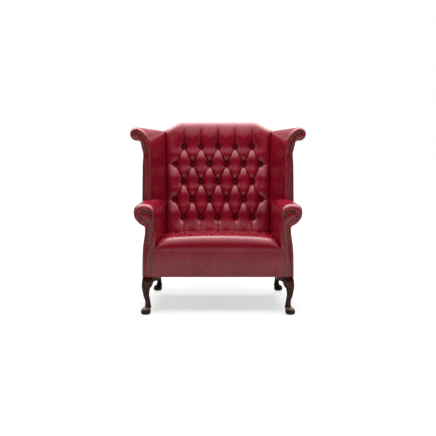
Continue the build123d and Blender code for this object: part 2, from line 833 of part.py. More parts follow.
def seat_pad():
    """The seat and its front apron: one buttoned pad over the front rail and the platform."""
    sections = []
    apron_half = side_rail_inside - soft_gap
    front = rail_setback
    low = ((front, leg_height), (0, leg_height)), ((front, rail_top), (-apron_bulge, rail_top))
    nose = ((front, seat_bottom), (-apron_bulge, apron_top))
    for inner, outer in low + (nose,):
        sections.append(seat_section(inner, outer, apron_half, 0, pleat, apron_bulge, 0, 0))
    for swing, lift in nose_shares:
        inner = (between(front, seat_crest_depth, swing), seat_bottom)
        outer = (between(-apron_bulge, seat_crest_depth, swing),
                 between(apron_top, seat_front_height, lift))
        shoulder = seat_half_width(max(inner[0], outer[0]))
        sections.append(seat_section(inner, outer, shoulder, 0, pleat,
                                     between(apron_bulge, seat_tuft_depth / 2, lift), seat_crown * lift,
                                     seat_tuft_depth / 2))
    for depth, spread, groove in row_steps(seat_rows(), 0):
        sections.append(seat_section((depth, seat_bottom), (depth, seat_height(depth)),
                                     seat_half_width(depth), spread,
                                     between(pocket, seat_pitch - pocket, spread),
                                     seat_tuft_depth * groove, seat_crown, seat_tuft_depth / 2))
    last = seat_rows()[-1]
    for share in seat_tail_shares:
        depth = between(last, seat_tail, share)
        sections.append(seat_section((depth, seat_bottom), (depth, seat_height(depth)),
                                     seat_half_width(depth), 0, pleat,
                                     between(seat_tuft_depth, pleat_end, share), seat_crown * (1 - share),
                                     seat_tuft_depth / 2 * (1 - share)))
    end = rear_rail_front
    sections.append(seat_section((end, seat_bottom), (end, seat_rear_height),
                                 seat_half_width(end), 0, pleat, pleat_end, 0, 0))
    return Solid.make_loft(sections, True)


def wing_inside(height):
    """Half width between the wings, beside the back pad, at a height."""
    return flank_at(wing_rear[-1], wing_rear[-2], height)


def back_half_width(height, depth):
    """Half the width of the back pad, between the arms and, above them, between the wings."""
    if height < arm_height + pocket:
        return inward(arm_inside_front, depth) - soft_gap
    return min(wing_inside(height), wing_inside(wing_rear[-3][1])) - soft_gap


def back_front(height):
    """Depth of the tops of the back's cushions at a height."""
    return back_face + (height - back_face_height) * rake_slope


def back_section(height, half_width, spread, parting, groove, front_ease, rear_reach, edge_drop):
    """A level section of the back pad, from the webbing to its buttoned face."""
    rear = post_plane(height) - platform_depth + rear_reach
    reach = rear - back_front(height) - front_ease
    draw = back_half_width(height, rear) - back_half_width(height, back_front(height))

    def place(across, depth):
        tuck = draw * (across / half_width) * (1 - depth / reach)
        return Vector(across + tuck, rear - depth, height)

    return tufted_section(place, half_width, back_pitch, spread, parting, groove,
                          lambda across: reach, edge_drop)


def back_rows():
    """Heights of the five rows of buttons of the back."""
    return [back_first_row + row * back_row_spacing for row in range(back_row_count)]


def back_full_sections():
    """The sections of the back pad below the crest."""
    sections = []
    first = seat_rear_height + soft_gap
    for share, groove in back_foot_shares:
        height = between(first, back_first_row - pocket, share)
        sections.append(back_section(height, back_half_width(height, back_front(height)), 0, pleat,
                                     back_tuft_depth * groove, 0, 0, back_tuft_depth / 2))
    for height, spread, groove in row_steps(back_rows(), 0):
        sections.append(back_section(height, back_half_width(height, back_front(height)), spread,
                                     between(pocket, back_pitch - pocket, spread),
                                     back_tuft_depth * groove, 0, 0, back_tuft_depth / 2))
    return sections


def back_crest_sections():
    """The top of the back pad runs over the top rail and rounds off at the crest."""
    sections = []
    start = back_rows()[-1] + pocket
    end = wing_height - crest_padding + crest_start_gap
    for share, groove in back_head_shares:
        height = between(start, end, share)
        sections.append(back_section(height, back_half_width(height, back_front(height)), 0, pleat,
                                     back_tuft_depth * groove, 0, 0, back_tuft_depth / 2))
    rise = back_height - shoulder_height
    narrowing = shoulder_half_width - crest_half_width
    for (up, across), ease, groove in zip(crest_shares, crest_round_shares, crest_pleat_shares):
        height = shoulder_height + rise * up
        sections.append(back_section(height, shoulder_half_width - narrowing * across, 0, pleat,
                                     back_tuft_depth * groove, 2 * post_depth * ease,
                                     post_depth + platform_depth - crest_padding * ease, back_tuft_depth / 2))
    return sections


def back_pad():
    """The buttoned pad of the back, cut to lie over the top rail."""
    pad = Solid.make_loft(back_full_sections() + back_crest_sections(), True)
    bottom = shoulder_height - crest_padding - top_rail_height
    shape = front_prism(crest_outline(crest_padding - soft_gap, bottom), post_front, back_height)
    slab = raked_slab(-platform_depth, post_depth + overrun, bottom, back_height + overrun, shoulder_half_width)
    posts = raked_slab(-platform_depth, post_depth + overrun, bottom, post_top + soft_gap, shoulder_half_width)
    pad = pad - (shape & slab)
    pad = pad - posts
    return pad.solids().sort_by(SortBy.VOLUME)[-1]


# Buttons
def button():
    """A covered button with its flat back on the origin plane, facing +Z."""
    rings = []
    for width, height in button_shares:
        ring = [Vector(button_radius * width * math.cos(2 * math.pi * side / button_sides),
                       button_radius * width * math.sin(2 * math.pi * side / button_sides),
                       button_height * height) for side in range(button_sides)]
        rings.append(Wire.make_polygon(ring, close=True))
    return Solid.make_loft(rings, True)


def staggered(rows, pitch, counts):
    """Places of the buttons, row by row, in alternate rows of different counts."""
    places = []
    for index, row in enumerate(rows):
        count = counts[index % 2]
        for column in range(count):
            places.append(((column - (count - 1) / 2) * pitch, row))
    return places


def back_buttons():
    """Twenty-seven buttons lie in the pockets of the back."""
    tilt = Rotation(90 - rake, 0, 0)
    buttons = []
    for x, z in staggered(back_rows(), back_pitch, (button_columns, button_columns + 1)):
        y = back_front(z) + back_tuft_depth - soft_gap
        buttons.append(Pos(x, y, z) * tilt * button())
    return Compound([piece.solid() for piece in buttons])


def seat_buttons():
    """Fourteen buttons lie in the pockets of the seat."""
    tilt = Rotation(-math.degrees(math.atan(seat_fall)), 0, 0)
    buttons = []
    for x, y in staggered(seat_rows(), seat_pitch, (button_columns, button_columns - 1)):
        dome = seat_crown * (1 - (x / seat_half_width(y)) ** 2)
        z = seat_height(y) + dome - seat_tuft_depth + soft_gap
        buttons.append(Pos(x, y, z) * tilt * button())
    return Compound([piece.solid() for piece in buttons])


# Webbing and cloth
def strap_wave(stations, first_side, edge, landing, level_height, lift):
    """Side outline of a strap that lies on a rail at each end and passes over and under between."""
    half = strap_width / 2
    path = [(-edge, level_height), (-landing, level_height)]
    for index, station in enumerate(stations):
        side = first_side if index % 2 == 0 else -first_side
        height = level_height + side * lift
        path += [(station - half, height), (station + half, height)]
    path += [(landing, level_height), (edge, level_height)]
    return path + [(along, height + strap_thickness) for along, height in reversed(path)]


def seat_webbing():
    """Straps from rail to rail: those across the chair weave over and under those from front to back."""
    columns = spaced(-arm_inside_rear + strap_width / 2, arm_inside_rear - strap_width / 2, seat_strap_columns)
    rows = spaced(stump_rear + strap_width, post_front - strap_width, seat_strap_rows)
    length = rear_rail_front + rail_thickness - rail_setback
    straps = []
    for x in columns:
        plan = [(x - strap_width / 2, rail_setback), (x + strap_width / 2, rail_setback),
                (x + strap_width / 2, rail_setback + length), (x - strap_width / 2, rail_setback + length)]
        straps.append(plan_prism(plan, rail_top, strap_thickness))
    for index, y in enumerate(rows):
        side = 1 if index % 2 == 0 else -1
        edge = inward(side_rail_outside, y + strap_width / 2) - soft_gap
        landing = inward(side_rail_inside, y + strap_width / 2) - soft_gap
        wave = strap_wave(columns, side, edge, landing, rail_top, strap_lift)
        face = Face(Wire.make_polygon([Vector(x, y - strap_width / 2, z) for x, z in wave], close=True))
        straps.append(Solid.extrude(face, Vector(0, strap_width, 0)))
    return Compound(straps)


def spaced(first, last, count):
    """Evenly spaced places from first to last."""
    return [first + (last - first) * index / (count - 1) for index in range(count)]


def seat_platform():
    """The cloth over the webbing that carries the seat's filling."""
    edge = stump_rear + soft_gap
    rear_edge = post_front - soft_gap
    inset = side_rail_outside - dust_cover_inset
    half = [(side_rail_inside - soft_gap, rail_setback), (side_rail_inside - soft_gap, edge),
            (inward(inset, edge), edge), (inward(inset, rear_edge), rear_edge),
            (post_inside - soft_gap, rear_edge), (post_inside - soft_gap, rear_rail_front + rail_thickness)]
    return plan_prism(both(half), platform_bottom, cloth_thickness)


def back_webbing():
    """Upright straps from the bottom rail of the back to its top rail."""
    low = bottom_rail_start
    high = shoulder_height - crest_padding
    straps = []
    reach = post_inside - strap_width
    for x in spaced(-reach, reach, back_strap_columns):
        outline = ((post_plane(low) - strap_thickness, low), (post_plane(low), low),
                   (post_plane(high), high), (post_plane(high) - strap_thickness, high))
        straps.append(side_prism(outline, x - strap_width / 2, strap_width))
    return Compound(straps)


def back_platform():
    """The cloth over the webbing of the back."""
    return raked_slab(-platform_depth, cloth_thickness, bottom_rail_start,
                      shoulder_height - crest_padding, arm_inside_rear)


def back_bottom_rail():
    """The rail between the posts that the webbing of the back starts from."""
    return raked_slab(0, back_rail_thickness, bottom_rail_start, bottom_rail_start + bottom_rail_height,
                      post_inside)


def outside_back():
    """The flat panel on the rear of the frame, bent where the posts start to rake."""
    top = back_height + overrun
    base = post_rear
    outline = ((base, leg_height), (base + outside_back_thickness, leg_height),
               (base + outside_back_thickness, bend_height),
               (post_plane(top) + post_depth + outside_back_thickness, top),
               (post_plane(top) + post_depth, top), (base, bend_height))
    panel = side_prism(outline, -wing_half_width, 2 * wing_half_width)
    low_edge = arm_rear_outside
    high_edge = wing_rear[0][0]
    crest = crest_outline(crest_padding / 2, shoulder_height - crest_padding)[1:-1]
    right = [(low_edge, leg_height), (high_edge, arm_height), (high_edge, wing_height - top_rail_height)]
    left = [(-x, z) for x, z in reversed(right)]
    shape = front_prism(right + crest + left, post_front, back_height)
    return (panel & shape).solid()


def dust_cover():
    """The thin cloth under the frame, notched round the legs."""
    front = rail_setback
    edge = side_rail_outside - dust_cover_inset
    rear = rear_rail_front + rail_thickness
    plan = both([(edge, front), (inward(edge, rear), rear)])
    cover = plan_prism(plan, leg_height - dust_cover_thickness, dust_cover_thickness)
    half = leg_block / 2 + soft_gap
    for x, y in leg_centres:
        reach = bracket_reach + half
        notch = [(x - reach, y - half), (x + half, y - half), (x + half, y + half), (x - reach, y + half)]
        hole = plan_prism(notch, leg_height - overrun, 2 * overrun)
        toward = 1 if y < post_front / 2 else -1
        side = [(x - half, y), (x + half, y), (x + half, y + toward * reach), (x - half, y + toward * reach)]
        hole = hole + plan_prism(side, leg_height - overrun, 2 * overrun)
        cover = cover - hole
        cover = cover - mirrored(hole)
    return cover.solid()


# Legs
def rounded_square(centre, half, roundness, height):
    """A square with rounded corners, level at a height."""
    x, y = centre
    radius = half * roundness
    flat = half - radius
    bow = radius * math.sqrt(0.5)
    corners = ((1, 1), (-1, 1), (-1, -1), (1, -1))
    edges = []
    previous = Vector(x + half, y - flat, height)
    for side_x, side_y in corners:
        ends = [Vector(x + side_x * half, y + side_y * flat, height),
                Vector(x + side_x * flat, y + side_y * half, height)]
        start, end = ends if side_x == side_y else ends[::-1]
        middle = Vector(x + side_x * (flat + bow), y + side_y * (flat + bow), height)
        edges.append(Edge.make_line(previous, start))
        edges.append(Edge.make_three_point_arc(start, middle, end))
        previous = end
    return Wire(edges)


def knee_bracket(centre, along, outward):
    """The curved ear between the knee and the rail.

    It reaches along the rail from the leg, a little behind the outward face of the leg's block."""
    x, y = centre
    half = leg_block / 2
    face = half - bracket_setback
    bend_out, bend_down = bracket_bend_shares

    def place(reach, drop):
        return Vector(x + along[0] * reach + outward[0] * face, y + along[1] * reach + outward[1] * face,
                      leg_height - drop)

    tip = half + bracket_reach / 2
    foot = place(half * bracket_foot_share, bracket_depth)
    bend = place(half * bend_out, bracket_depth * bend_down)
    edges = [Edge.make_line(place(0, 0), place(tip, 0)),
             Edge.make_line(place(tip, 0), place(tip, bracket_drop)),
             Edge.make_three_point_arc(place(tip, bracket_drop), bend, foot),
             Edge.make_line(foot, place(0, bracket_depth)),
             Edge.make_line(place(0, bracket_depth), place(0, 0))]
    inward_run = Vector(-outward[0] * bracket_thickness, -outward[1] * bracket_thickness, 0)
    return Solid.extrude(Face(Wire(edges)), inward_run)


def leg(centre, toward_back):
    """A cabriole leg: its knee and pad foot lean out over the corner, with an ear along each rail."""
    x, y = centre
    sections = []
    for up, lean, size, roundness in leg_shares:
        shift = foot_reach * lean
        place = (x + shift, y + toward_back * shift)
        sections.append(rounded_square(place, leg_block / 2 * size, roundness, leg_height * up))
    sections.append(rounded_square((x + foot_reach, y + toward_back * foot_reach),
                                   leg_block / 2 * leg_shares[-1][2] * sole_share, leg_shares[-1][3],
                                   glide_height))
    body = Solid.make_loft(sections, True)
    body = body + knee_bracket(centre, (-1, 0), (0, toward_back))
    body = body + knee_bracket(centre, (0, -toward_back), (1, 0))
    return bored_for_bolt(body.solid(), centre)


def foot_glides():
    """A nylon glide under each foot."""
    glides = []
    for (x, y), toward_back in zip(leg_centres, (-1, 1)):
        base = Plane(origin=(x + foot_reach, y + toward_back * foot_reach, 0), z_dir=(0, 0, 1))
        glide = Solid.make_cylinder(glide_radius, glide_height, base)
        glides += [glide, mirrored(glide)]
    return Compound(glides)


def leg_bolts():
    """A hanger bolt joins each leg to the frame."""
    bolts = []
    for centre in leg_centres:
        piece = bolt(centre, 0)
        bolts += [piece, mirrored(piece)]
    return Compound(bolts)


def frame_dowels():
    """Dowels join the front and rear rails to the stumps and posts."""
    pins = []
    for place in dowel_places():
        pin = dowel(place, 0)
        pins += [pin, mirrored(pin)]
    return Compound(pins)


# Lengths that need the functions above
seat_tail = back_front(seat_rear_height) - pocket / 2
seat_fall = (seat_front_height - seat_rear_height) / (seat_tail - seat_crest_depth)
arm_rear_outside = inward(arm_roll[0][0], arm_rear)

# The assembly
pieces = {
    "front_seat_rail": rail_across(side_rail_inside, rail_setback),
    "rear_seat_rail": rail_across(post_inside, rear_rail_front),
    "corner_blocks": corner_blocks(),
    "frame_dowels": frame_dowels(),
    "back_top_rail": back_top_rail(),
    "back_bottom_rail": back_bottom_rail(),
    "seat_webbing": seat_webbing(),
    "seat_platform": seat_platform(),
    "back_webbing": back_webbing(),
    "back_platform": back_platform(),
    "seat_pad": seat_pad(),
    "back_pad": back_pad(),
    "seat_buttons": seat_buttons(),
    "back_buttons": back_buttons(),
    "outside_back": outside_back(),
    "dust_cover": dust_cover(),
    "leg_bolts": leg_bolts(),
    "foot_glides": foot_glides(),
}
facing_depth = stump_setback - facing_recess
right_pieces = {
    "side_seat_rail": side_rail(),
    "back_post": back_post(),
    "arm_stump": arm_stump(),
    "arm_rail": arm_rail(),
    "wing_post": wing_post(0),
    "wing_rail": wing_rail(0),
    "arm_pad": arm_pad(),
    "wing_pad": wing_pad(),
    "arm_facing": board(arm_nails, facing_recess, facing_depth),
    "wing_facing": above_arm(board(wing_nails, wing_front + facing_recess, facing_depth)),
    "arm_nail_trim": trim(arm_nails, 0),
    "wing_nail_trim": above_arm(trim(wing_nails, wing_front)),
    "outside_arm": outside_arm(),
    "outside_wing": outside_wing(),
    "front_leg": leg(leg_centres[0], -1),
    "rear_leg": leg(leg_centres[1], 1),
}
for name, piece in right_pieces.items():
    pieces["right_" + name] = piece
    pieces["left_" + name] = mirrored(piece)

whole = Compound(children=[Compound([solid for solid in piece.solids()]) for piece in pieces.values()])
box = whole.bounding_box()
to_base_centre = Pos(-(box.min.X + box.max.X) / 2, -(box.min.Y + box.max.Y) / 2, -box.min.Z)
for name, piece in pieces.items():
    export_step(to_base_centre * Compound([solid for solid in piece.solids()]), f"parts/{name}.step")
print(f"{len(pieces)} pieces, {box.size.X:.1f} x {box.size.Y:.1f} x {box.size.Z:.1f} mm")
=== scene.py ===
# %% [markdown]
# # A buttoned cuddle chair
#
# This lesson dresses a wide wing chair: a hardwood frame padded with foam and covered in red
# leather. The joiner's parts come from the CAD model, which gives every length. Blender adds what
# the upholsterer and the polisher do: full pads, pleats, buttons, nails, grain and shine.
#
# Every shape is in metres. X runs across the chair, the sitter faces -Y, and Z is up.

# %% Load the frame
import json
import math
import bpy
import numpy as np
from mathutils import Matrix, Vector


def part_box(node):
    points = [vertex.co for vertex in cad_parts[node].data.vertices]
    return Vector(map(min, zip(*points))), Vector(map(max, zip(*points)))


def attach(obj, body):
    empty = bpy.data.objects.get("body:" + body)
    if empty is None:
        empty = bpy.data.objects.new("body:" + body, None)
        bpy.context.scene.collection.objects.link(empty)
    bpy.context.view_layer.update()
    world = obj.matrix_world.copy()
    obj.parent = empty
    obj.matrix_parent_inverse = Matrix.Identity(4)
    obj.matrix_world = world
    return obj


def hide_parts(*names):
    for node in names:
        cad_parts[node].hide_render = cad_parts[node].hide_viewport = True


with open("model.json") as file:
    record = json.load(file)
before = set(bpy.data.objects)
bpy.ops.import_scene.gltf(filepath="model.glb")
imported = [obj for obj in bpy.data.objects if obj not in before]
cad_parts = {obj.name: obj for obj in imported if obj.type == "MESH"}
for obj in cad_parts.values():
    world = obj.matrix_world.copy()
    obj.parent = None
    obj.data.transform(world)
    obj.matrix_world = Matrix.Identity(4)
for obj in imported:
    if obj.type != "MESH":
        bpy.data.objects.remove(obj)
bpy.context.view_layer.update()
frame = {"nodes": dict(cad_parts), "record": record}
cad_nodes = frame["nodes"]

# %% [markdown]
# ## The lengths that the pads share
#
# The covers follow the same outlines as the joiner's boards. Depths are counted from the front of
# the arms, and `front` is where that plane lies, read from the arm facing, which is set back 2 mm.

# %% Shared lengths
arm_half_width, arm_height = 0.466, 0.617
arm_rear_half_width = 0.455
wing_half_width, wing_height = 0.518, 1.046
arm_inside, arm_inside_rear = 0.3425, 0.322
base_height = 0.214
rim_depth, rim_bulge = 0.026, 0.009
wing_start = 0.300
post_front, post_depth, bend_height = 0.600, 0.045, 0.400
frame_depth = post_front + post_depth
back_tilt = math.radians(13.5)
rake = math.tan(back_tilt)
cushion_front, cushion_low = 0.500, 0.420
facing_set_back = 0.002
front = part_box("right_arm_facing")[0].y - facing_set_back
print("front plane at y =", round(front, 4))


def rail_plane(height):
    """Depth of the front of the back posts: upright to the bend, raked above it."""
    return post_front + np.maximum(height - bend_height, 0) * rake


def face_plane(height):
    """Depth of the tops of the back's cushions at a height."""
    return cushion_front + (height - cushion_low) * rake


# %% [markdown]
# ## Camera
#
# The chair was photographed square on, from about four metres, with the lens a little below the
# height of the crest and tipped down by six degrees. A camera that is fitted to the feet, the arms
# and the crest gives the focal length; the distance matters more than the lens, because it sets how
# much smaller the rear feet look.

# %% Camera
photo_width, focal_length = 436, 682.05
camera_distance, camera_height, camera_tilt = 4.1271, 0.9496, 6.206
camera_data = bpy.data.cameras.new("studio_camera")
camera = bpy.data.objects.new("studio_camera", camera_data)
bpy.context.scene.collection.objects.link(camera)
camera_data.sensor_width = 36.0
# The width and the focal length are both in pixels of the photo, so the lens comes out in mm.
camera_data.lens = camera_data.sensor_width * focal_length / photo_width
camera.location = (0.0, -camera_distance, camera_height)
camera.rotation_euler = (math.radians(90 - camera_tilt), 0, 0)
bpy.context.scene.camera = camera
bpy.context.scene.view_settings.view_transform = "Standard"
print("lens", round(camera_data.lens, 1), "mm")

# %% [markdown]
# ## Floor and light
#
# A catalogue picture is lit by large soft boxes above the chair, in front of it and behind it, and
# dark flags stand at its sides, so that the leather shines where it faces the lamps and stays deep
# red at its edges. The hard edges of a lamp would be mirrored in every pillow, so the large lamps are
# hidden from reflections and the world stands in for them: a reflection sees a glow overhead, which
# fades smoothly to the flags' dark at the horizon. Two narrow lamps at the sides stay in sight of it.
#
# The floor looks white to the camera, and the chair gets reflections of its glow but no light from
# it. The glow grows away from the chair, where the lamps no longer reach, so the shadow under the
# chair stays.

# %% Small helpers for node materials
def new_material(name):
    """An empty node material with its output node."""
    material = bpy.data.materials.new(name)
    material.use_nodes = True
    tree = material.node_tree
    tree.nodes.clear()
    return material, tree, tree.nodes.new("ShaderNodeOutputMaterial")


def add_node(tree, kind, links=None, settings=None, **properties):
    """Add a node, set its properties and sockets, and link its inputs from other sockets."""
    made = tree.nodes.new(kind)
    for key, value in properties.items():
        setattr(made, key, value)
    for key, value in (settings or {}).items():
        made.inputs[key].default_value = value
    for key, socket in (links or {}).items():
        tree.links.new(socket, made.inputs[key])
    return made


def ramp(tree, factor, stops):
    """A colour ramp through (position, colour) stops."""
    made = tree.nodes.new("ShaderNodeValToRGB")
    elements = made.color_ramp.elements
    while len(elements) > 1:
        elements.remove(elements[-1])
    elements[0].position, elements[0].color = stops[0][0], (*stops[0][1], 1)
    for position, colour in stops[1:]:
        elements.new(position).color = (*colour, 1)
    tree.links.new(factor, made.inputs["Fac"])
    return made.outputs["Color"]


def calculate(tree, operation, *terms):
    """The result of a Math node, whose terms are sockets or plain numbers."""
    made = add_node(tree, "ShaderNodeMath", operation=operation)
    for place, term in enumerate(terms):
        if isinstance(term, bpy.types.NodeSocket):
            tree.links.new(term, made.inputs[place])
        else:
            made.inputs[place].default_value = term
    return made.outputs[0]


def between(tree, value, start, end, low, high, curve="SMOOTHSTEP"):
    """Low up to the start, high past the end, and a smooth or a straight change between them."""
    made = add_node(tree, "ShaderNodeMapRange", {"Value": value},
                    {"From Min": start, "From Max": end, "To Min": low, "To Max": high},
                    interpolation_type=curve)
    return made.outputs["Result"]


# %% Floor
def white_to_camera(name, plain, seen, near_glow, in_reflections):
    """A matt floor that looks white to the camera and to shiny surfaces, and keeps its shadows.

    plain is its own grey and seen the colour of its glow, which is near_glow strong at the chair. A
    reflection sees in_reflections of the glow, and all of it in a strip ahead of the chair."""
    material, tree, output = new_material(name)
    path = add_node(tree, "ShaderNodeLightPath").outputs
    where = add_node(tree, "ShaderNodeNewGeometry").outputs["Position"]
    split = add_node(tree, "ShaderNodeSeparateXYZ", {"Vector": where}).outputs
    ahead = between(tree, split["Y"], -0.50, -2.0, 0.0, 1.8 - in_reflections)
    strip = between(tree, calculate(tree, "ABSOLUTE", split["X"]), 1.5, 2.6, 1.0, 0.0)
    lit = calculate(tree, "MULTIPLY_ADD", ahead, strip, in_reflections)
    reflected = calculate(tree, "MULTIPLY", path["Is Glossy Ray"], lit)
    sees = calculate(tree, "MAXIMUM", path["Is Camera Ray"], reflected)
    place = add_node(tree, "ShaderNodeTexCoord").outputs["Object"]
    radius = add_node(tree, "ShaderNodeVectorMath", {0: place}, operation="LENGTH").outputs["Value"]
    far = between(tree, radius, 0.9, 4.5, near_glow, 1.0, "LINEAR")
    matt = add_node(tree, "ShaderNodeBsdfDiffuse", settings={"Color": (*plain, 1)}).outputs[0]
    glow = add_node(tree, "ShaderNodeEmission", {"Strength": far}, {"Color": (*seen, 1)}).outputs[0]
    both_shaders = add_node(tree, "ShaderNodeAddShader", {0: matt, 1: glow}).outputs[0]
    mix = add_node(tree, "ShaderNodeMixShader", {0: sees, 1: matt, 2: both_shaders})
    tree.links.new(mix.outputs[0], output.inputs["Surface"])
    return material


reach = 14
floor_mesh = bpy.data.meshes.new("studio_floor")
floor_mesh.from_pydata([(-reach, -reach, 0), (reach, -reach, 0), (reach, reach, 0), (-reach, reach, 0)],
                       [], [(0, 1, 2, 3)])
floor = bpy.data.objects.new("studio_floor", floor_mesh)
bpy.context.scene.collection.objects.link(floor)
floor_mesh.materials.append(white_to_camera(
    "studio_white", plain=(0.50, 0.50, 0.50), seen=(1.0, 1.0, 1.0), near_glow=0.62, in_reflections=0.10))
print("floor:", 2 * reach, "metres wide")


# %% World
def studio_world(fill, flags):
    """White to the camera. fill is the even light that matt surfaces get from all round.

    A reflection sees white above, a pale wall behind the chair, the flags' dark towards the horizon,
    and a bright glow where its ray goes both upwards and backwards."""
    made = bpy.data.worlds.new("studio_world")
    made.use_nodes = True
    tree = made.node_tree
    tree.nodes.clear()
    path = add_node(tree, "ShaderNodeLightPath").outputs
    seen = calculate(tree, "MAXIMUM", path["Is Camera Ray"], path["Is Transmission Ray"])
    around = add_node(tree, "ShaderNodeTexCoord").outputs["Generated"]
    way = add_node(tree, "ShaderNodeSeparateXYZ", {0: around}).outputs
    above = between(tree, way["Z"], 0.34, 1.0, flags, 2.3)
    behind = between(tree, way["Y"], 0.35, 0.75, flags, 0.35)
    surround = calculate(tree, "MAXIMUM", above, behind)
    white = calculate(tree, "MAXIMUM", seen, calculate(tree, "MULTIPLY", surround, path["Is Glossy Ray"]))
    backwards = between(tree, way["Y"], -0.50, 0.20, 0.0, 5.2)
    upwards = between(tree, way["Z"], 0.35, 0.80, 0.0, 1.0)
    glow = calculate(tree, "MULTIPLY", backwards, upwards)
    overhead = calculate(tree, "MULTIPLY_ADD", glow, path["Is Glossy Ray"], white)
    light = calculate(tree, "MULTIPLY_ADD", path["Is Diffuse Ray"], fill, overhead)
    sky = add_node(tree, "ShaderNodeBackground", {"Strength": light}, {"Color": (1, 1, 1, 1)})
    add_node(tree, "ShaderNodeOutputWorld", {"Surface": sky.outputs[0]})
    return made


bpy.context.scene.world = studio_world(fill=0.13, flags=0.02)
print("world:", bpy.context.scene.world.name)


# %% Soft boxes
def soft_box(name, place, target, width, height, watts, mirrored=True):
    """A rectangular lamp at a place, turned to face a target. Reflections show it if it is mirrored."""
    data = bpy.data.lights.new(name, "AREA")
    data.shape = "RECTANGLE"
    data.size, data.size_y, data.energy = width, height, watts
    lamp = bpy.data.objects.new(name, data)
    lamp.location = place
    lamp.rotation_euler = (Vector(target) - Vector(place)).to_track_quat("-Z", "Y").to_euler()
    lamp.visible_glossy = mirrored
    bpy.context.scene.collection.objects.link(lamp)


soft_box("key_box", (0.0, -1.9, 3.5), (0, -0.1, 0.6), 3.6, 1.6, 98, mirrored=False)
soft_box("top_box", (0.0, 0.1, 3.4), (0, 0.1, 0.6), 2.6, 1.5, 62, mirrored=False)
soft_box("left_box", (-3.0, -1.3, 1.5), (0, 0, 0.7), 0.5, 2.2, 13)
soft_box("right_box", (3.0, -1.3, 1.5), (0, 0, 0.7), 0.5, 2.2, 13)
soft_box("rear_box", (0.0, 2.2, 3.2), (0, 0.2, 0.9), 2.8, 1.2, 76, mirrored=False)
print("lamps:", [lamp.name for lamp in bpy.data.lights])

# %% [markdown]
# ## Leather
#
# The hide is dyed deep red and rubbed back by hand, so its colour is mottled. Up close it has a
# pebbled grain. All of it is procedural: clouds of noise for the mottling, cells for the pebbles,
# and a darkening attribute that each pad carries in its creases, pleats, button pits and nail
# grooves. That darkening is partly the dye that stays in the creases and partly painted shade, the
# shadow that falls into those hollows. It darkens with the shape and not with the camera.

# %% Textures and the shader that all finishes share
def noise(tree, place, scale, detail, roughness=0.5, distortion=0.0):
    """A cloudy pattern from 0 to 1; detail adds finer clouds, and roughness their strength."""
    made = add_node(tree, "ShaderNodeTexNoise", {"Vector": place},
                    {"Scale": scale, "Detail": detail, "Roughness": roughness, "Distortion": distortion})
    return made.outputs["Fac"]


def finish_with(tree, output, colour, relief, strength, depth, settings, links=None):
    """One shader from a colour and a relief, linked to the output.

    The relief is a pattern of heights, and its bumps are strength times depth metres high."""
    bump = add_node(tree, "ShaderNodeBump", {"Height": relief}, {"Strength": strength, "Distance": depth})
    sockets = {"Base Color": colour, "Normal": bump.outputs[0], **(links or {})}
    body = add_node(tree, "ShaderNodeBsdfPrincipled", sockets, settings)
    tree.links.new(body.outputs[0], output.inputs["Surface"])


# %% Leather material
def leather_material(name, deep, mid, bright, shine, gleam=0.5):
    """Mottled dyed leather. deep, mid and bright are its colours, spread in random clouds. Where a
    pad's darkening attribute is set, the colour goes towards 0.35 times deep: partly the dye left in
    creases, partly painted shade in the hollows.

    shine is the roughness of its polish, and gleam how strongly it reflects."""
    material, tree, output = new_material(name)
    place = add_node(tree, "ShaderNodeTexCoord").outputs["Object"]
    clouds = calculate(tree, "MULTIPLY", noise(tree, place, 9.0, 5.0, 0.62), 0.75)
    mottling = calculate(tree, "MULTIPLY_ADD", noise(tree, place, 120.0, 4.0, 0.7), 0.25, clouds)
    dyed = ramp(tree, mottling, [(0.34, deep), (0.50, mid), (0.66, bright)])
    # The darkening attribute takes the colour towards 0.35 times deep: partly the dye that stays in creases,
    # partly painted shade for the shadow in button pits, pleats and nail grooves.
    dye_and_shade = add_node(tree, "ShaderNodeAttribute", attribute_name="dye_and_shade").outputs["Fac"]
    shade = add_node(tree, "ShaderNodeMix", {0: dye_and_shade, 6: dyed}, {7: (*[0.35 * c for c in deep], 1)},
                     data_type="RGBA")
    pebbles = add_node(tree, "ShaderNodeTexVoronoi", {"Vector": place}, {"Scale": 620.0}, feature="SMOOTH_F1")
    grain = calculate(tree, "ADD", pebbles.outputs["Distance"], noise(tree, place, 55.0, 6.0, 0.65))
    rough = between(tree, mottling, 0.35, 0.65, shine + 0.06, shine - 0.05, "LINEAR")
    finish_with(tree, output, shade.outputs[2], grain, 0.035, 0.0006, {"Specular IOR Level": gleam},
                {"Roughness": rough})
    return material


hide = leather_material("oxblood_leather", (0.150, 0.0018, 0.010), (0.195, 0.0024, 0.013),
                        (0.24, 0.004, 0.018), shine=0.26)
# The buttons' leather is the hide's red painted about three times darker: painted shade for the pits that the
# buttons sit in.
shaded_button_hide = leather_material("shaded_button_leather", (0.04, 0.0012, 0.004), (0.055, 0.0018, 0.005),
                               (0.07, 0.0025, 0.006), shine=0.22, gleam=0.35)
print("leather:", hide.name, "and", shaded_button_hide.name)

# %% [markdown]
# ## Wood, brass and the plain cloths
#
# The legs are stained almost black-brown and lacquered; the grain runs down the leg. The frame inside
# is pale sawn beech. The nails are brass that has been darkened, brighter where a cloth has rubbed
# their crowns.

# %% Wood, metal and cloth materials
def wood_material(name, dark, light, stretch, rough):
    """Wood whose rings are drawn out along the grain by a stretch of its coordinates."""
    material, tree, output = new_material(name)
    place = add_node(tree, "ShaderNodeTexCoord").outputs["Object"]
    drawn = add_node(tree, "ShaderNodeMapping", {"Vector": place}, {"Scale": stretch}).outputs[0]
    rings = noise(tree, drawn, 9.0, 7.0, 0.6, 0.8)
    halfway = tuple((a + b) / 2 for a, b in zip(dark, light))
    colour = ramp(tree, rings, [(0.30, dark), (0.52, halfway), (0.72, light)])
    pores = noise(tree, drawn, 70.0, 3.0)
    finish_with(tree, output, colour, pores, 0.10, 0.001, {"Roughness": rough, "Specular IOR Level": 0.30})
    return material


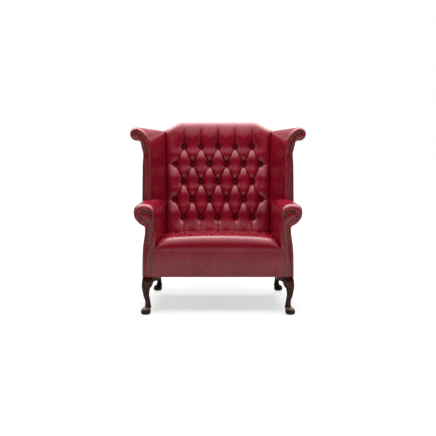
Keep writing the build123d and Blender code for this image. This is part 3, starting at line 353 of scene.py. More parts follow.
def cloth_material(name, dark, light, threads):
    """A plain weave: two sets of fine bands crossed, for warp and weft."""
    material, tree, output = new_material(name)
    place = add_node(tree, "ShaderNodeTexCoord").outputs["Object"]
    warp, weft = (
        add_node(tree, "ShaderNodeTexWave", {"Vector": place}, {"Scale": threads, "Distortion": 0.4},
                 bands_direction=way).outputs["Fac"] for way in ("X", "Y"))
    weave = calculate(tree, "MULTIPLY", warp, weft)
    colour = ramp(tree, weave, [(0.0, dark), (1.0, light)])
    finish_with(tree, output, colour, weave, 0.25, 0.0006, {"Roughness": 0.88})
    return material


def metal_material(name, dull, worn, rough, metallic):
    """Metal or plastic with a patina: dull in patches, worn brighter in others."""
    material, tree, output = new_material(name)
    place = add_node(tree, "ShaderNodeTexCoord").outputs["Object"]
    patches = noise(tree, place, 140.0, 3.0)
    colour = ramp(tree, patches, [(0.36, dull), (0.64, worn)])
    finish_with(tree, output, colour, patches, 0.08, 0.0005, {"Roughness": rough, "Metallic": metallic})
    return material


leg_wood = wood_material("stained_mahogany", (0.010, 0.0020, 0.0008), (0.060, 0.0085, 0.0025),
                         stretch=(5.0, 5.0, 0.7), rough=0.24)
frame_wood = wood_material("sawn_beech", (0.36, 0.23, 0.13), (0.58, 0.42, 0.26),
                           stretch=(0.8, 6.0, 6.0), rough=0.7)
brass = metal_material("antique_brass", (0.16, 0.125, 0.060), (0.46, 0.38, 0.21), rough=0.34, metallic=0.55)
zinc = metal_material("zinc_steel", (0.42, 0.42, 0.42), (0.62, 0.62, 0.62), rough=0.4, metallic=1.0)
nylon = metal_material("brown_nylon", (0.030, 0.022, 0.018), (0.045, 0.035, 0.028), rough=0.55, metallic=0)
jute = cloth_material("jute_webbing", (0.10, 0.07, 0.04), (0.30, 0.22, 0.14), threads=160.0)
hessian = cloth_material("hessian", (0.18, 0.13, 0.08), (0.42, 0.33, 0.22), threads=220.0)
lining = cloth_material("black_lining", (0.006, 0.006, 0.006), (0.022, 0.022, 0.022), threads=300.0)
print("materials:", [m.name for m in (leg_wood, frame_wood, brass, zinc, nylon, jute, hessian, lining)])

# %% Materials for the CAD nodes that stay
node_finish = {
    "frame_wood": frame_wood, "webbing": jute, "platform_cloth": hessian, "steel": zinc, "glide": nylon,
}
staying = [entry for entry in frame["record"]["subparts"] if entry["material_slot"] in node_finish]
for entry in staying:
    mesh = cad_nodes[entry["node"]].data
    mesh.materials.clear()
    mesh.materials.append(node_finish[entry["material_slot"]])
print("CAD nodes with a finish of their own:", len(staying))

# %% [markdown]
# ## Surfaces from arrays
#
# Nearly every pad here is one idea: a grid of points, worked out as whole arrays, whose faces join
# each point to its neighbours. A grid that wraps round in one direction is a tube, and a cap closes
# each end. If the closed shape turns out inside out, its signed volume is negative and the faces are
# turned round, so a left-hand piece can simply be the mirror image of the right-hand one.

# %% Grid surfaces
def grid_faces(rows, columns, wrap):
    """Quads between neighbouring rows and columns; with wrap, the last column joins the first."""
    numbers = np.arange(rows * columns).reshape(rows, columns)
    if wrap:
        numbers = np.hstack([numbers, numbers[:, :1]])
    here, right = numbers[:-1, :-1], numbers[:-1, 1:]
    above, beyond = numbers[1:, :-1], numbers[1:, 1:]
    return np.stack([here, right, beyond, above], axis=-1).reshape(-1, 4)


def capped_tube(points, zipped=False):
    """A closed tube: points is rows x columns x 3, wrapped across, with a fan over each end.

    A fan leaves a hooked outline such as a scroll. With zipped, the two sides of the outline are
    joined by short ribs instead, the first corner with the last and so on to the tip."""
    rows, columns, _ = points.shape
    corners = points.reshape(-1, 3)
    if zipped:
        rib = np.arange(columns // 2 - 1)
        low = np.stack([rib + 1, rib, columns - 1 - rib, columns - 2 - rib], axis=-1)
        quads = np.vstack([grid_faces(rows, columns, True), low, (rows - 1) * columns + low[:, ::-1]])
        return corners, quads, np.empty((0, 3), int)
    ends = np.array([points[0].mean(axis=0), points[-1].mean(axis=0)])
    ring = np.arange(columns)
    after = np.roll(ring, -1)
    low = np.stack([np.full(columns, rows * columns), after, ring], axis=-1)
    last = (rows - 1) * columns
    high = np.stack([np.full(columns, rows * columns + 1), last + ring, last + after], axis=-1)
    return np.vstack([corners, ends]), grid_faces(rows, columns, True), np.vstack([low, high])


def signed_volume(corners, triangles):
    """Sum over the triangles of the volume of the pyramid that each makes with the origin."""
    a, b, c = (corners[triangles[:, i]] for i in range(3))
    return float((a * np.cross(b, c)).sum() / 6)


def outwards(corners, quads, triangles):
    """The faces as they are, or turned round where the volume that they close comes out negative."""
    split = np.vstack([quads[:, [0, 1, 2]], quads[:, [0, 2, 3]], triangles])
    if signed_volume(corners, split) < 0:
        return quads[:, ::-1], triangles[:, ::-1]
    return quads, triangles


def add_piece(name, corners, quads, triangles, material, smooth_angle=40, attributes=None):
    """Put arrays of points and faces into a mesh object that points outwards and rides on the frame."""
    quads, triangles = outwards(corners, quads, triangles)
    mesh = bpy.data.meshes.new(name)
    loops = np.concatenate([quads.ravel(), triangles.ravel()]).astype(np.int32)
    corner_counts = np.repeat([4, 3], [len(quads), len(triangles)])
    starts = (np.cumsum(corner_counts) - corner_counts).astype(np.int32)
    mesh.vertices.add(len(corners))
    mesh.vertices.foreach_set("co", corners.astype(np.float32).ravel())
    mesh.loops.add(len(loops))
    mesh.loops.foreach_set("vertex_index", loops)
    mesh.polygons.add(len(starts))
    mesh.polygons.foreach_set("loop_start", starts)
    mesh.update(calc_edges=True)
    mesh.validate()
    mesh.polygons.foreach_set("use_smooth", np.ones(len(mesh.polygons), bool))
    mesh.set_sharp_from_angle(angle=math.radians(smooth_angle))
    for key, values in (attributes or {}).items():
        layer = mesh.attributes.new(key, "FLOAT", "POINT")
        layer.data.foreach_set("value", values.astype(np.float32))
    mesh.materials.append(material)
    piece = bpy.data.objects.new(name, mesh)
    bpy.context.scene.collection.objects.link(piece)
    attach(piece, "root")
    return piece


def add_tube(name, points, material, smooth_angle=40, attributes=None, zipped=False):
    """A closed tube from a grid of points; attributes are given on the grid and are 0 on its caps."""
    corners, quads, triangles = capped_tube(points, zipped)
    spare = np.zeros(len(corners) - points.shape[0] * points.shape[1])
    padded = {key: np.concatenate([values.ravel(), spare]) for key, values in (attributes or {}).items()}
    return add_piece(name, corners, quads, triangles, material, smooth_angle, padded)


def mirror(points, side):
    """The same points on the right (side 1) or on the left (side -1) of the chair."""
    return points * np.array([side, 1, 1])


# %% [markdown]
# ## Outlines of the scrolls
#
# The arms and wings get their look from two outlines each: the line of nails round the facing, and
# the full roll round that. A third closes the wing at the rear. All are drawn through a few points,
# as a pattern maker draws through pins with a bent lath, so the curve here is a cubic spline, which
# bends as a lath does.

# %% Splines through points
def length_along(line):
    """Length covered at each point of a line, counted from its first point."""
    return np.concatenate([[0], np.cumsum(np.hypot(*np.diff(line, axis=0).T))])


def even(line, count):
    """Samples of a polyline that are equally far apart along it."""
    along = length_along(line)
    wanted = np.linspace(0, along[-1], count)
    return np.stack([np.interp(wanted, along, line[:, i]) for i in range(line.shape[1])], axis=-1)


def lath(points, count, flats=True):
    """A natural cubic spline through points, with equal steps of length between count samples.

    With flats, the first and last stretches stay straight and lead into the curve along its tangent.
    The bend at every point comes from one set of equations: the slope has no jump at a point."""
    points = np.asarray(points, float)
    inner = points[1:-1] if flats else points
    knots = length_along(inner)
    h, n = np.diff(knots), len(knots)
    run = np.diff(inner, axis=0) / h[:, None]
    system, right = np.zeros((n, n)), np.zeros((n, 2))
    rows = np.arange(1, n - 1)
    system[rows, rows - 1], system[rows, rows], system[rows, rows + 1] = h[:-1], 2 * (h[:-1] + h[1:]), h[1:]
    right[1:-1] = 6 * np.diff(run, axis=0)
    system[0, 0] = system[-1, -1] = 1
    if flats:
        lead_in, lead_out = points[1] - points[0], points[-1] - points[-2]
        system[0, :2], right[0] = (2 * h[0], h[0]), 6 * (run[0] - lead_in / np.hypot(*lead_in))
        system[-1, -2:], right[-1] = (h[-1], 2 * h[-1]), 6 * (lead_out / np.hypot(*lead_out) - run[-1])
    bend = np.linalg.solve(system, right)
    t = np.linspace(0, knots[-1], 800)
    k = np.clip(np.searchsorted(knots, t, side="right") - 1, 0, n - 2)
    a, b = (knots[k + 1] - t)[:, None], (t - knots[k])[:, None]
    hk = h[k][:, None]
    cubes = (bend[k] * a**3 + bend[k + 1] * b**3) / (6 * hk)
    chords = (inner[k] / hk - bend[k] * hk / 6) * a + (inner[k + 1] / hk - bend[k + 1] * hk / 6) * b
    fine = cubes + chords
    if flats:
        fine = np.vstack([points[:1], fine, points[-1:]])
    return even(fine, count)


def matched(shares, width, height, count):
    """Samples of a spline through an outline's table whose numbering follows the table's points.

    Two outlines whose tables match point by point then match sample by sample, so that a rim can be
    drawn from one to the other."""
    points = np.asarray(shares, float) * (width, height)
    fine = lath(points, 4000)
    along = length_along(fine)
    marks = []
    last = 0
    for point in points:
        last = last + int(np.argmin(np.hypot(*(fine[last:] - point).T)))
        marks.append(along[last])
    marks[0], marks[-1] = 0, along[-1]
    wanted = np.interp(np.linspace(0, len(points) - 1, count), np.arange(len(points)), marks)
    return np.stack([np.interp(wanted, along, fine[:, i]) for i in range(2)], axis=-1)


# %% Outlines of the arm and wing
arm_nail_shares = (
    (0.870, 0.347), (0.865, 0.502), (0.859, 0.648), (0.847, 0.720), (0.837, 0.775), (0.839, 0.815),
    (0.867, 0.838), (0.903, 0.867), (0.923, 0.891), (0.925, 0.911), (0.910, 0.930), (0.882, 0.940),
    (0.852, 0.942), (0.820, 0.935), (0.794, 0.922), (0.775, 0.901), (0.767, 0.875), (0.766, 0.833),
    (0.772, 0.762), (0.785, 0.681), (0.795, 0.600), (0.795, 0.347))
arm_roll_shares = (
    (0.907, 0.347), (0.904, 0.502), (0.889, 0.648), (0.874, 0.721), (0.869, 0.775), (0.874, 0.798),
    (0.910, 0.815), (0.957, 0.844), (0.989, 0.878), (1.000, 0.918), (0.993, 0.964), (0.962, 0.994),
    (0.913, 1.006), (0.858, 1.007), (0.807, 0.997), (0.764, 0.970), (0.741, 0.929), (0.735, 0.875),
    (0.735, 0.762), (0.735, 0.648), (0.735, 0.535), (0.735, 0.347))
wing_nail_shares = (
    (0.861, 0.430), (0.847, 0.782), (0.838, 0.873), (0.847, 0.894), (0.863, 0.911), (0.886, 0.928),
    (0.914, 0.940), (0.940, 0.947), (0.954, 0.954), (0.958, 0.962), (0.954, 0.970), (0.941, 0.975),
    (0.915, 0.976), (0.878, 0.964), (0.840, 0.946), (0.817, 0.930), (0.797, 0.911), (0.789, 0.889),
    (0.787, 0.846), (0.800, 0.430))
wing_rim_shares = (
    (0.876, 0.430), (0.860, 0.782), (0.851, 0.872), (0.860, 0.898), (0.877, 0.914), (0.902, 0.925),
    (0.931, 0.925), (0.961, 0.930), (0.986, 0.941), (1.000, 0.960), (0.992, 0.979), (0.969, 0.993),
    (0.931, 1.000), (0.878, 0.994), (0.826, 0.974), (0.792, 0.950), (0.766, 0.923), (0.753, 0.894),
    (0.749, 0.846), (0.749, 0.430))
wing_rear_shares = (
    (0.768, 0.430), (0.768, 0.782), (0.766, 0.840), (0.765, 0.872), (0.764, 0.896), (0.764, 0.912),
    (0.764, 0.926), (0.764, 0.938), (0.763, 0.952), (0.760, 0.966), (0.750, 0.977), (0.734, 0.984),
    (0.710, 0.987), (0.691, 0.985), (0.674, 0.978), (0.659, 0.966), (0.649, 0.946), (0.643, 0.918),
    (0.639, 0.846), (0.622, 0.430))
samples = 380
arm_nails = matched(arm_nail_shares, arm_half_width, arm_height, samples)
arm_roll = matched(arm_roll_shares, arm_half_width, arm_height, samples)
wing_nails = matched(wing_nail_shares, wing_half_width, wing_height, samples)
wing_roll = matched(wing_rim_shares, wing_half_width, wing_height, samples)
wing_rear = matched(wing_rear_shares, wing_half_width, wing_height, samples)
print("arm roll from", arm_roll.min(axis=0).round(3), "to", arm_roll.max(axis=0).round(3))

# %% [markdown]
# ## Arm pads
#
# An arm is a fat roll of fibre pulled over a board. Seen from the front it is a ring round the nailed
# facing: the leather bulges forward past the facing, turns outwards, and runs back along the arm. The
# ring is gathered in small radial pleats where it goes round the scroll, because the outside of the
# curve needs more leather than the nail line does. The rear of the arm leans back with the post.

# %% Profile of a padded rim
rim_turn_steps = 13
rim_ring_count = 2 * rim_turn_steps - 1


def rim_profile():
    """Share of the way from the nail line to the full roll, and depth, over a padded rim.

    The first quarter of an ellipse swells forward from the nail line to the crown, and the second
    turns back from there to the roll."""
    turn = np.linspace(0, np.pi / 2, rim_turn_steps)
    throat, crown = 0.0035, 0.46
    inner_share, inner_depth = crown * (1 - np.cos(turn)), throat - (throat + rim_bulge) * np.sin(turn)
    outer_share = crown + (1 - crown) * np.sin(turn)
    outer_depth = -rim_bulge + (rim_bulge + rim_depth) * (1 - np.cos(turn))
    return np.concatenate([inner_share, outer_share[1:]]), np.concatenate([inner_depth, outer_depth[1:]])


def bell(value, centre, width):
    """A smooth bump along a value: e to the power of -(distance from the centre / width)^2."""
    return np.exp(-((value - centre) / width) ** 2)


def outward(line):
    """Unit normals of a line of points across and up, pointing to its outside."""
    run = np.gradient(line, axis=0)
    normal = np.stack([run[:, 1], -run[:, 0]], axis=-1)
    return normal / np.linalg.norm(normal, axis=1, keepdims=True)


# %% Rings of a gathered rim
# The place of each sample along its outline, from the outer foot to the inner foot.
station = np.linspace(0, 1, samples)
gather_width = 0.0065


def rim_rings(nail_line, roll_line, start, places, tuck_depth, level=1.0):
    """The rim as rings from its throat to the full roll, and how dark each ring is painted.

    Every ring lies a share of the way between the two outlines. The gathers are bells along the
    outline, one at each (place, strength). A gather pulls a narrow radial strip back, most of all a
    quarter of the way out from the nails, where the spare leather is tacked down. level is 1 where
    the rim stands in front of the facing and 0 where it lies behind the seat border."""
    under_nails, behind_border = 0.0012, 0.003
    pleats = sum(strength * bell(station, place, gather_width) for place, strength in places)
    inner = nail_line - outward(nail_line) * under_nails
    rings, dye_and_shade_rows = [], []
    for share, depth in zip(*rim_profile()):
        near = bell(share, 0.22, 0.24)
        pull = tuck_depth * pleats * near
        ahead = np.where(level < 1, np.maximum(depth, depth * level + (1 - level) * behind_border), depth)
        flat = inner + (roll_line - inner) * share - outward(roll_line) * (0.5 * pull * share)[:, None]
        rings.append(np.stack([flat[:, 0], start + ahead + pull, flat[:, 1]], axis=-1))
        # Darkening: dye and painted shade in the gathers, and painted shade at the throat beside the nails,
        # for the shadow that falls there.
        dye_and_shade_rows.append(0.8 * pleats * near + 0.9 * bell(share, 0.005, 0.035))
    return rings, dye_and_shade_rows


# %% Points of the arm
def share_of(value, start, end):
    """How far a value has come from start to end: 0 at or before the start, 1 at or past the end."""
    return np.clip((value - start) / (end - start), 0, 1)


def drawn_in(across, depth):
    """How a half width behind the arm's rim closes towards the rear of the arm."""
    spread = (arm_rear_half_width - arm_inside_rear) / (arm_half_width - arm_inside)
    rear = arm_inside_rear + (across - arm_inside) * spread
    return across + (rear - across) * share_of(depth, rim_depth, frame_depth)


arm_gathers = ((0.312, 0.9), (0.392, 1.0), (0.455, 0.35), (0.524, 1.0), (0.600, 0.35), (0.675, 1.0),
               (0.745, 0.3))
rear_lap = 0.001


def arm_points():
    """The arm as sections round the roll: the throat, the rim, and the roll run back to the rear post.

    The rear leans back as the post does, so the sections lean more and more towards it. The inner
    side of the rim lies behind the seat border up to the border's top."""
    inner_side, border_top, border_blend = 0.75, 0.365, 0.055
    beside_seat = share_of(arm_nails[:, 1], border_top, border_top + border_blend)
    level = np.where(station > inner_side, beside_seat, 1.0)
    sections, dye_and_shade_rows = rim_rings(arm_nails, arm_roll, 0, arm_gathers, tuck_depth=0.0052, level=level)
    lean = rail_plane(arm_roll[:, 1]) - post_front
    for share in np.linspace(0, 1, 30)[1:]:
        depth = rim_depth + (frame_depth + rear_lap - rim_depth) * share
        across = drawn_in(arm_roll[:, 0], depth)
        sections.append(np.stack([across, depth + lean * share, arm_roll[:, 1]], axis=-1))
        dye_and_shade_rows.append(np.zeros(samples))
    points = np.array(sections)
    points[..., 2] = np.maximum(points[..., 2], base_height + 0.0006)
    points[..., 1] += front
    return points, np.clip(np.array(dye_and_shade_rows), 0, 1)


# %% Arm covers
arm_grid, arm_dye_and_shade = arm_points()
for side, label in ((1, "right"), (-1, "left")):
    points = mirror(arm_grid, side)
    # The darkening attribute: painted shade at the rim's throat, and dye and painted shade in its gathers.
    pad = add_tube(label + "_arm_cover", points, hide, attributes={"dye_and_shade": arm_dye_and_shade}, zipped=True)
    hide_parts(label + "_arm_pad")
print("arm cover:", arm_grid.shape, "points")

# %% [markdown]
# ## Facings
#
# The facing is a strip of board, padded thinly and covered, that fills the scroll inside the nails.
# Its outline runs up one side and down the other, so a point of the left side and the point across
# from it on the right side make a short rib, and the ribs from the base to the tip of the scroll
# make the surface. Each rib is crowned a little in the middle.

# %% Facings of the arms and wings
def facing_points(outline, start, crown, inset):
    """Ribs across a facing, from its base to the tip of its scroll, crowned by a parabola.

    The crown is a share of the rib's width and dies away over the last ribs before the tip. The
    nails sit in a groove along the edge, and the darkening attribute marks it with painted shade, for
    the shadow that falls in the groove under the nails."""
    groove_width, groove_depth, groove_wall = 0.0084, 0.0016, 0.0012
    shade_width, thickness, tip_ribs = 0.0092, 0.008, 24
    line = outline - outward(outline) * inset
    half = len(line) // 2
    one, other = line[:half], line[::-1][:half]
    width = np.linalg.norm(other - one, axis=1)[:, None]
    left = np.minimum(np.linspace(0, groove_width, 7) / width, 0.40)
    middle = np.linspace(0, 1, 13)[None, 1:-1]
    across = np.hstack([left, left[:, -1:] + (1 - 2 * left[:, -1:]) * middle, 1 - left[:, ::-1]])
    ribs = one[:, None] + (other - one)[:, None] * across[..., None]
    rise = np.sin(np.pi / 2 * share_of(np.arange(half)[::-1], 0, tip_ribs))[:, None]
    lift = crown * width * (1 - (2 * across - 1) ** 2) * rise
    edge = np.minimum(across, 1 - across) * width
    sunk = groove_depth * share_of(edge, groove_width, groove_width - groove_wall)
    face = np.stack([ribs[..., 0], start - lift + sunk, ribs[..., 1]], axis=-1)
    rear = np.stack([ribs[:, ::-1, 0], np.full(lift.shape, start + thickness), ribs[:, ::-1, 1]], axis=-1)
    # Painted shade: the groove along the nails is darkened for the shadow that falls in it.
    dark = 1.15 * share_of(edge, shade_width, shade_width - groove_wall)
    return np.concatenate([face, rear], axis=1), np.hstack([dark, np.zeros_like(dark)])


def add_facings(name, outline, start, node, low):
    """A facing on each side of the chair, trimmed at its foot to the height of what it stands on."""
    grid, dark = facing_points(outline, start, crown=0.12, inset=0.0004)
    kept = grid[..., 2].max(axis=1) > low
    grid, dark = grid[kept], dark[kept]
    grid[..., 1] += front
    for side, label in ((1, "right_"), (-1, "left_")):
        piece = add_tube(label + name, mirror(grid, side), hide, attributes={"dye_and_shade": dark})
        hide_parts(label + node)
    return len(grid)


behind_front, wing_foot = 0.0015, 0.572
arm_ribs = add_facings("arm_scroll", arm_nails, behind_front, "arm_facing", base_height)
wing_ribs = add_facings("wing_scroll", wing_nails, wing_start + behind_front, "wing_facing",
                        wing_foot + 0.003)
print("facing ribs:", arm_ribs, "and", wing_ribs)

# %% [markdown]
# ## Wings
#
# A wing is built as the arm is, but its rear end leans back with the back posts and comes in to meet
# the back cushion. Its sections are drawn from the rim to the plane of the back's face, and from there
# to the rear of the posts, along a smooth curve. Its foot is sunk a little way into the arm's roll,
# where on the real chair the leather is pulled tight through the joint.

# %% Points of the wing
wing_gathers = ((0.30, 0.3), (0.36, 0.4), (0.43, 0.5), (0.49, 0.4), (0.55, 0.3), (0.62, 0.3), (0.70, 0.2))


def smooth(share):
    """A share from 0 to 1 with a gentle start and a gentle end: share^2 (3 - 2 share)."""
    return share * share * (3 - 2 * share)


def wing_points():
    """The wing as sections from its throat, round the padded rim, and back to the rear of the post.

    The first stretch ends on the plane of the back's cushions. It reaches that plane part of the way
    to the rear outline on the outer side, and all of the way on the inner side."""
    sections, dye_and_shade_rows = rim_rings(wing_nails, wing_roll, wing_start, wing_gathers, tuck_depth=0.0030)
    first = wing_start + rim_depth
    outer_share, inner_side, blend = 0.72, 0.56, 0.08
    middle_share = outer_share + (1 - outer_share) * smooth(share_of(station, inner_side, inner_side + blend))
    middle = wing_roll + (wing_rear - wing_roll) * middle_share[:, None]
    middle_depth = face_plane(middle[:, 1])
    rear_depth = frame_depth + (wing_rear[:, 1] - bend_height) * rake + rear_lap
    for step in np.linspace(0, 1, 22)[1:]:
        ring = wing_roll + (middle - wing_roll) * (step + 0.10 * step * (1 - step))
        depth = first + (middle_depth - first) * step
        sections.append(np.stack([ring[:, 0], depth, ring[:, 1]], axis=-1))
    for step in np.linspace(0, 1, 12)[1:]:
        ring = middle + (wing_rear - middle) * step
        depth = middle_depth + (rear_depth - middle_depth) * step
        sections.append(np.stack([ring[:, 0], depth, ring[:, 1]], axis=-1))
    points = np.array(sections)
    points[..., 2] = np.maximum(points[..., 2], wing_foot)
    points[..., 1] += front
    plain = np.zeros((len(points) - len(dye_and_shade_rows), samples))
    return points, np.clip(np.vstack([dye_and_shade_rows, plain]), 0, 1)


# %% Wing covers
wing_grid, wing_dye_and_shade = wing_points()
for side, label in ((1, "right"), (-1, "left")):
    points = mirror(wing_grid, side)
    # The darkening attribute: painted shade at the rim's throat, and dye and painted shade in its gathers.
    pad = add_tube(label + "_wing_cover", points, hide, attributes={"dye_and_shade": wing_dye_and_shade}, zipped=True)
    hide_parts(label + "_wing_pad")
print("wing cover:", wing_grid.shape, "points")

# %% [markdown]
# ## Nails
#
# The facings are edged with dome-headed brass nails, set nearly touching. One dome is a small lathe
# shape: rings of a flattened hemisphere. A few hundred copies are placed with a single array sum, and
# each keeps only a few dozen faces.

# %% Places of the nails
def nail_rows(outline, start, pitch, low, foot):
    """Places of nails along an outline, drawn in from its edge, and across its foot if foot is true."""
    inset = 0.0036
    line = outline - outward(outline) * inset
    line = line[line[:, 1] > low]
    if foot:
        bottom = line[-1] + (line[0] - line[-1]) * np.linspace(0, 1, 30)[1:-1, None]
        line = np.vstack([line, bottom, line[:1]])
    places = even(line, int(round(length_along(line)[-1] / pitch)) + 1)
    places = places[:-1] if foot else places
    return np.stack([places[:, 0], np.full(len(places), start + front), places[:, 1]], axis=-1)


nail_pitch, nail_seat = 0.0122, 0.0018
arm_nail_places = nail_rows(arm_nails, nail_seat, nail_pitch, low=base_height + 0.004, foot=True)
wing_nail_places = nail_rows(wing_nails, wing_start + nail_seat, nail_pitch, low=0.603, foot=False)
print("nails:", 2 * len(arm_nail_places), "on the arms,", 2 * len(wing_nail_places), "on the wings")


# %% Nails
def turned(radii, depths, sides):
    """Rings of a shape turned on a lathe about Y: one ring for each radius and depth of its profile."""
    angle = np.arange(sides) * 2 * np.pi / sides
    ring = np.stack([np.cos(angle), np.zeros(sides), np.sin(angle)], axis=-1)
    return radii[:, None, None] * ring + depths[:, None, None] * np.array([0, 1, 0])


def repeated(corners, quads, triangles, places):
    """A shape's arrays at every place: its corners are moved there, and its faces numbered on."""
    every = (np.asarray(places)[:, None, :] + corners).reshape(-1, 3)
    shift = (np.arange(len(places)) * len(corners))[:, None, None]
    return every, (quads + shift).reshape(-1, 4), (triangles + shift).reshape(-1, 3)


head_radius, head_height, head_sides = 0.0039, 0.0026, 10
rear_middle, crown_middle = 0.0006, -0.0024


def nail_head():
    """A nail's head facing -Y: a flattened hemisphere of few faces, with a turned-in lip.

    Its profile is radii and heights as shares of the head's. The last two corners of its arrays
    are the middles of its rear and of its crown."""
    profile = np.array([(0.90, -0.22), (1.0, 0.0), (0.93, 0.38), (0.70, 0.74), (0.36, 0.95)])
    rings = turned(head_radius * profile[:, 0], -head_height * profile[:, 1], head_sides)
    corners, quads, triangles = capped_tube(rings)
    corners[-2:, 1] = rear_middle, crown_middle
    return corners, quads, triangles


def add_nails(name, places, node):
    """All the nails of a facing as one piece on each side of the chair."""
    corners, quads, triangles = repeated(*nail_head(), places)
    for side, label in ((1, "right_"), (-1, "left_")):
        piece = add_piece(label + name, mirror(corners, side), quads, triangles, brass)
        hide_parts(label + node)


add_nails("arm_nails", arm_nail_places, "arm_nail_trim")
add_nails("wing_nails", wing_nail_places, "wing_nail_trim")
print("faces on each nail:", sum(len(faces) for faces in nail_head()[1:]))

# %% [markdown]
# ## Deep buttoning
#
# Each button is pulled through the filling with twine, and the spare leather between two buttons is
# folded into a pleat. The height of the cushion is worked out from both. Round every button lies a
# wide round hollow, so the leather below a button leans back and catches the light from above, and
# the leather above it leans forward. Every pleat is a short line from button to button, and the
# leather falls towards it in a narrow crease. All the falls multiply, and what is left between them
# stands up as a pillow shaped like a diamond. A pleat that runs out to an edge gets narrower on the
# way, like a dart in a coat.

# %% Pleats between the buttons
# A pleat's depth at its start, middle and end, in shares of the full depth, and its width at its
# start and end, in shares of the spread.
diagonal_pleat = (0.80, 0.55, 0.80, 1.0, 1.0)
lower_pleat = (0.80, 0.30, 0.25, 1.0, 0.60)
nose_pleat, border_pleat = (1.0, 0.45, 0.11, 1.0, 0.22), (0.11, 0.12, 0.20, 0.22, 0.16)
side_pleat = (0.30, 0.12, 0.08, 0.3, 0.2)


def pleat_list(pitch, rows, counts, reach_low, reach_high, half_width, over=(0.16,), low_break=0):
    """The pleats of a buttoned face, and its buttons: diagonals between rows, and pleats to its edges.

    Each pleat is its start, its end and its depths and widths. over gives the depths that the upper
    pleats keep over the edge. With low_break, a lower pleat is deep only that far, and a thin line
    from there."""
    places = []
    for i, row in enumerate(rows):
        count = counts[i % 2]
        places.append([((c - (count - 1) / 2) * pitch, row) for c in range(count)])
    pleats = []
    for lower, upper in zip(places[:-1], places[1:]):
        for start in lower:
            for end in upper:
                if abs(abs(end[0] - start[0]) - pitch / 2) < pitch / 10:
                    pleats.append((start, end, *diagonal_pleat))
    for x, row in places[0]:
        if low_break:
            pleats.append(((x, row), (x, row - low_break), *nose_pleat))
            pleats.append(((x, row - low_break), (x, reach_low), *border_pleat))
        else:
            pleats.append(((x, row), (x, reach_low), *lower_pleat))
    for nth, (x, row) in enumerate(places[-1]):
        pleats.append(((x, row), (x, reach_high), 1.0, 0.50, over[nth % len(over)], 1.5, 0.30))
    for row in places:
        if len(row) == max(counts):
            for x, height in (row[0], row[-1]):
                pleats.append(((x, height), (math.copysign(half_width, x), height), *side_pleat))
    return pleats, [place for row in places for place in row]


# %% Height of a buttoned face
def buttoned(u, v, pleats, buttons, spread, crease, hollow):
    """Height of a buttoned face between 0 at a button and 1 on a full pillow, and how dark it is painted:
    dye and painted shade along the creases, and painted shade in the pits round the buttons.

    One pleat's fall is its depth times 0.22 near^1.6 + 0.34 exp(-away / 4.5 mm), where near goes from
    1 at the fold to 0 a spread away. A button's fall is 0.40 (1 - away / hollow)^1.4, with a narrow
    pit round the button itself and ten small puckers round the pit. The pillows are the product of 1
    minus every fall."""
    wide_fall, line_fall, line_width = 0.22, 0.34, 0.0045
    hollow_fall, pit_fall, pit_radius = 0.40, 0.55, 0.0135
    puckers, pucker_height, pucker_radius, pucker_width = 10, 0.012, 0.021, 0.009
    height = np.ones_like(u)
    dye_and_shade = np.zeros_like(u)
    for (x0, y0), (x1, y1), first, middle, last, wide, narrow in pleats:
        run_x, run_y = x1 - x0, y1 - y0
        along = np.clip(((u - x0) * run_x + (v - y0) * run_y) / (run_x**2 + run_y**2), 0, 1)
        away = np.hypot(u - x0 - along * run_x, v - y0 - along * run_y)
        depth = first + (last - first) * along
        depth = depth + (middle - (first + last) / 2) * np.sin(np.pi * along) ** 0.8
        near = np.clip(1 - away / (spread * (wide + (narrow - wide) * along)), 0, 1)
        height = height * (1 - depth * (wide_fall * near**1.6 + line_fall * np.exp(-away / line_width)))
        # Darkening along the crease: partly the dye left in the fold, partly painted shade.
        dye_and_shade = np.maximum(dye_and_shade, bell(away, 0, crease) * np.clip(depth * 1.2, 0, 1))
    for x, y in buttons:
        away = np.hypot(u - x, v - y)
        angle = np.arctan2(v - y, u - x)
        height = height * (1 - hollow_fall * np.clip(1 - away / hollow, 0, 1) ** 1.4)
        height = height * (1 - pit_fall * bell(away, 0, pit_radius))
        ring = bell(away, pucker_radius, pucker_width)
        height = height + pucker_height * ring * np.cos(puckers * angle + 3 * x + 5 * y)
        # Painted shade in the pit round the button, for the shadow that falls into it.
        dye_and_shade = np.maximum(dye_and_shade, np.exp(-(away / pit_radius) ** 4))
    return height, dye_and_shade


# %% [markdown]
# ## Back cushion
#
# The back is one closed shape. Its profile, seen from the side, runs up the raked face, turns over the
# crest in a fat roll, comes down behind and closes along the webbing. The profile is carried across
# the chair, and the crest rises and falls as it goes, which gives the camel's back. The buttoning
# pushes the face straight back, and turns downwards over the roll.

# %% Outline of the back
back_pitch, back_first, back_spacing = 0.108, 0.485, 0.1107
back_rows = [back_first + i * back_spacing for i in range(5)]
back_depth = 0.044
back_low, crest_top, shoulder_drop = 0.4056, 1.086, 0.050
shoulder_start, back_top_half, back_reach = 0.222, 0.347, 0.345
face_steps, roll_steps, rear_steps = 340, 40, 20


def crest_height(across):
    """Height of the top edge: level in the middle, then a smooth fall to the shoulders."""
    return crest_top - shoulder_drop * smooth(share_of(np.abs(across), shoulder_start, back_top_half))


def back_half(height):
    """Half width of the back, between the arms below and between the wings above.

    It goes over from one to the other above the arms. Between the wings it widens evenly, and it
    opens a little more as it clears them."""
    arms, wings_low, wings_high, opening = 0.3265, 0.3222, 0.331, 0.014
    wings = wings_low + (wings_high - wings_low) * (height - 0.450) / (0.885 - 0.450)
    over_arms, at_top = share_of(height, 0.600, 0.660), share_of(height, 1.000, 1.036)
    return arms + (wings - arms) * over_arms + opening * at_top**2


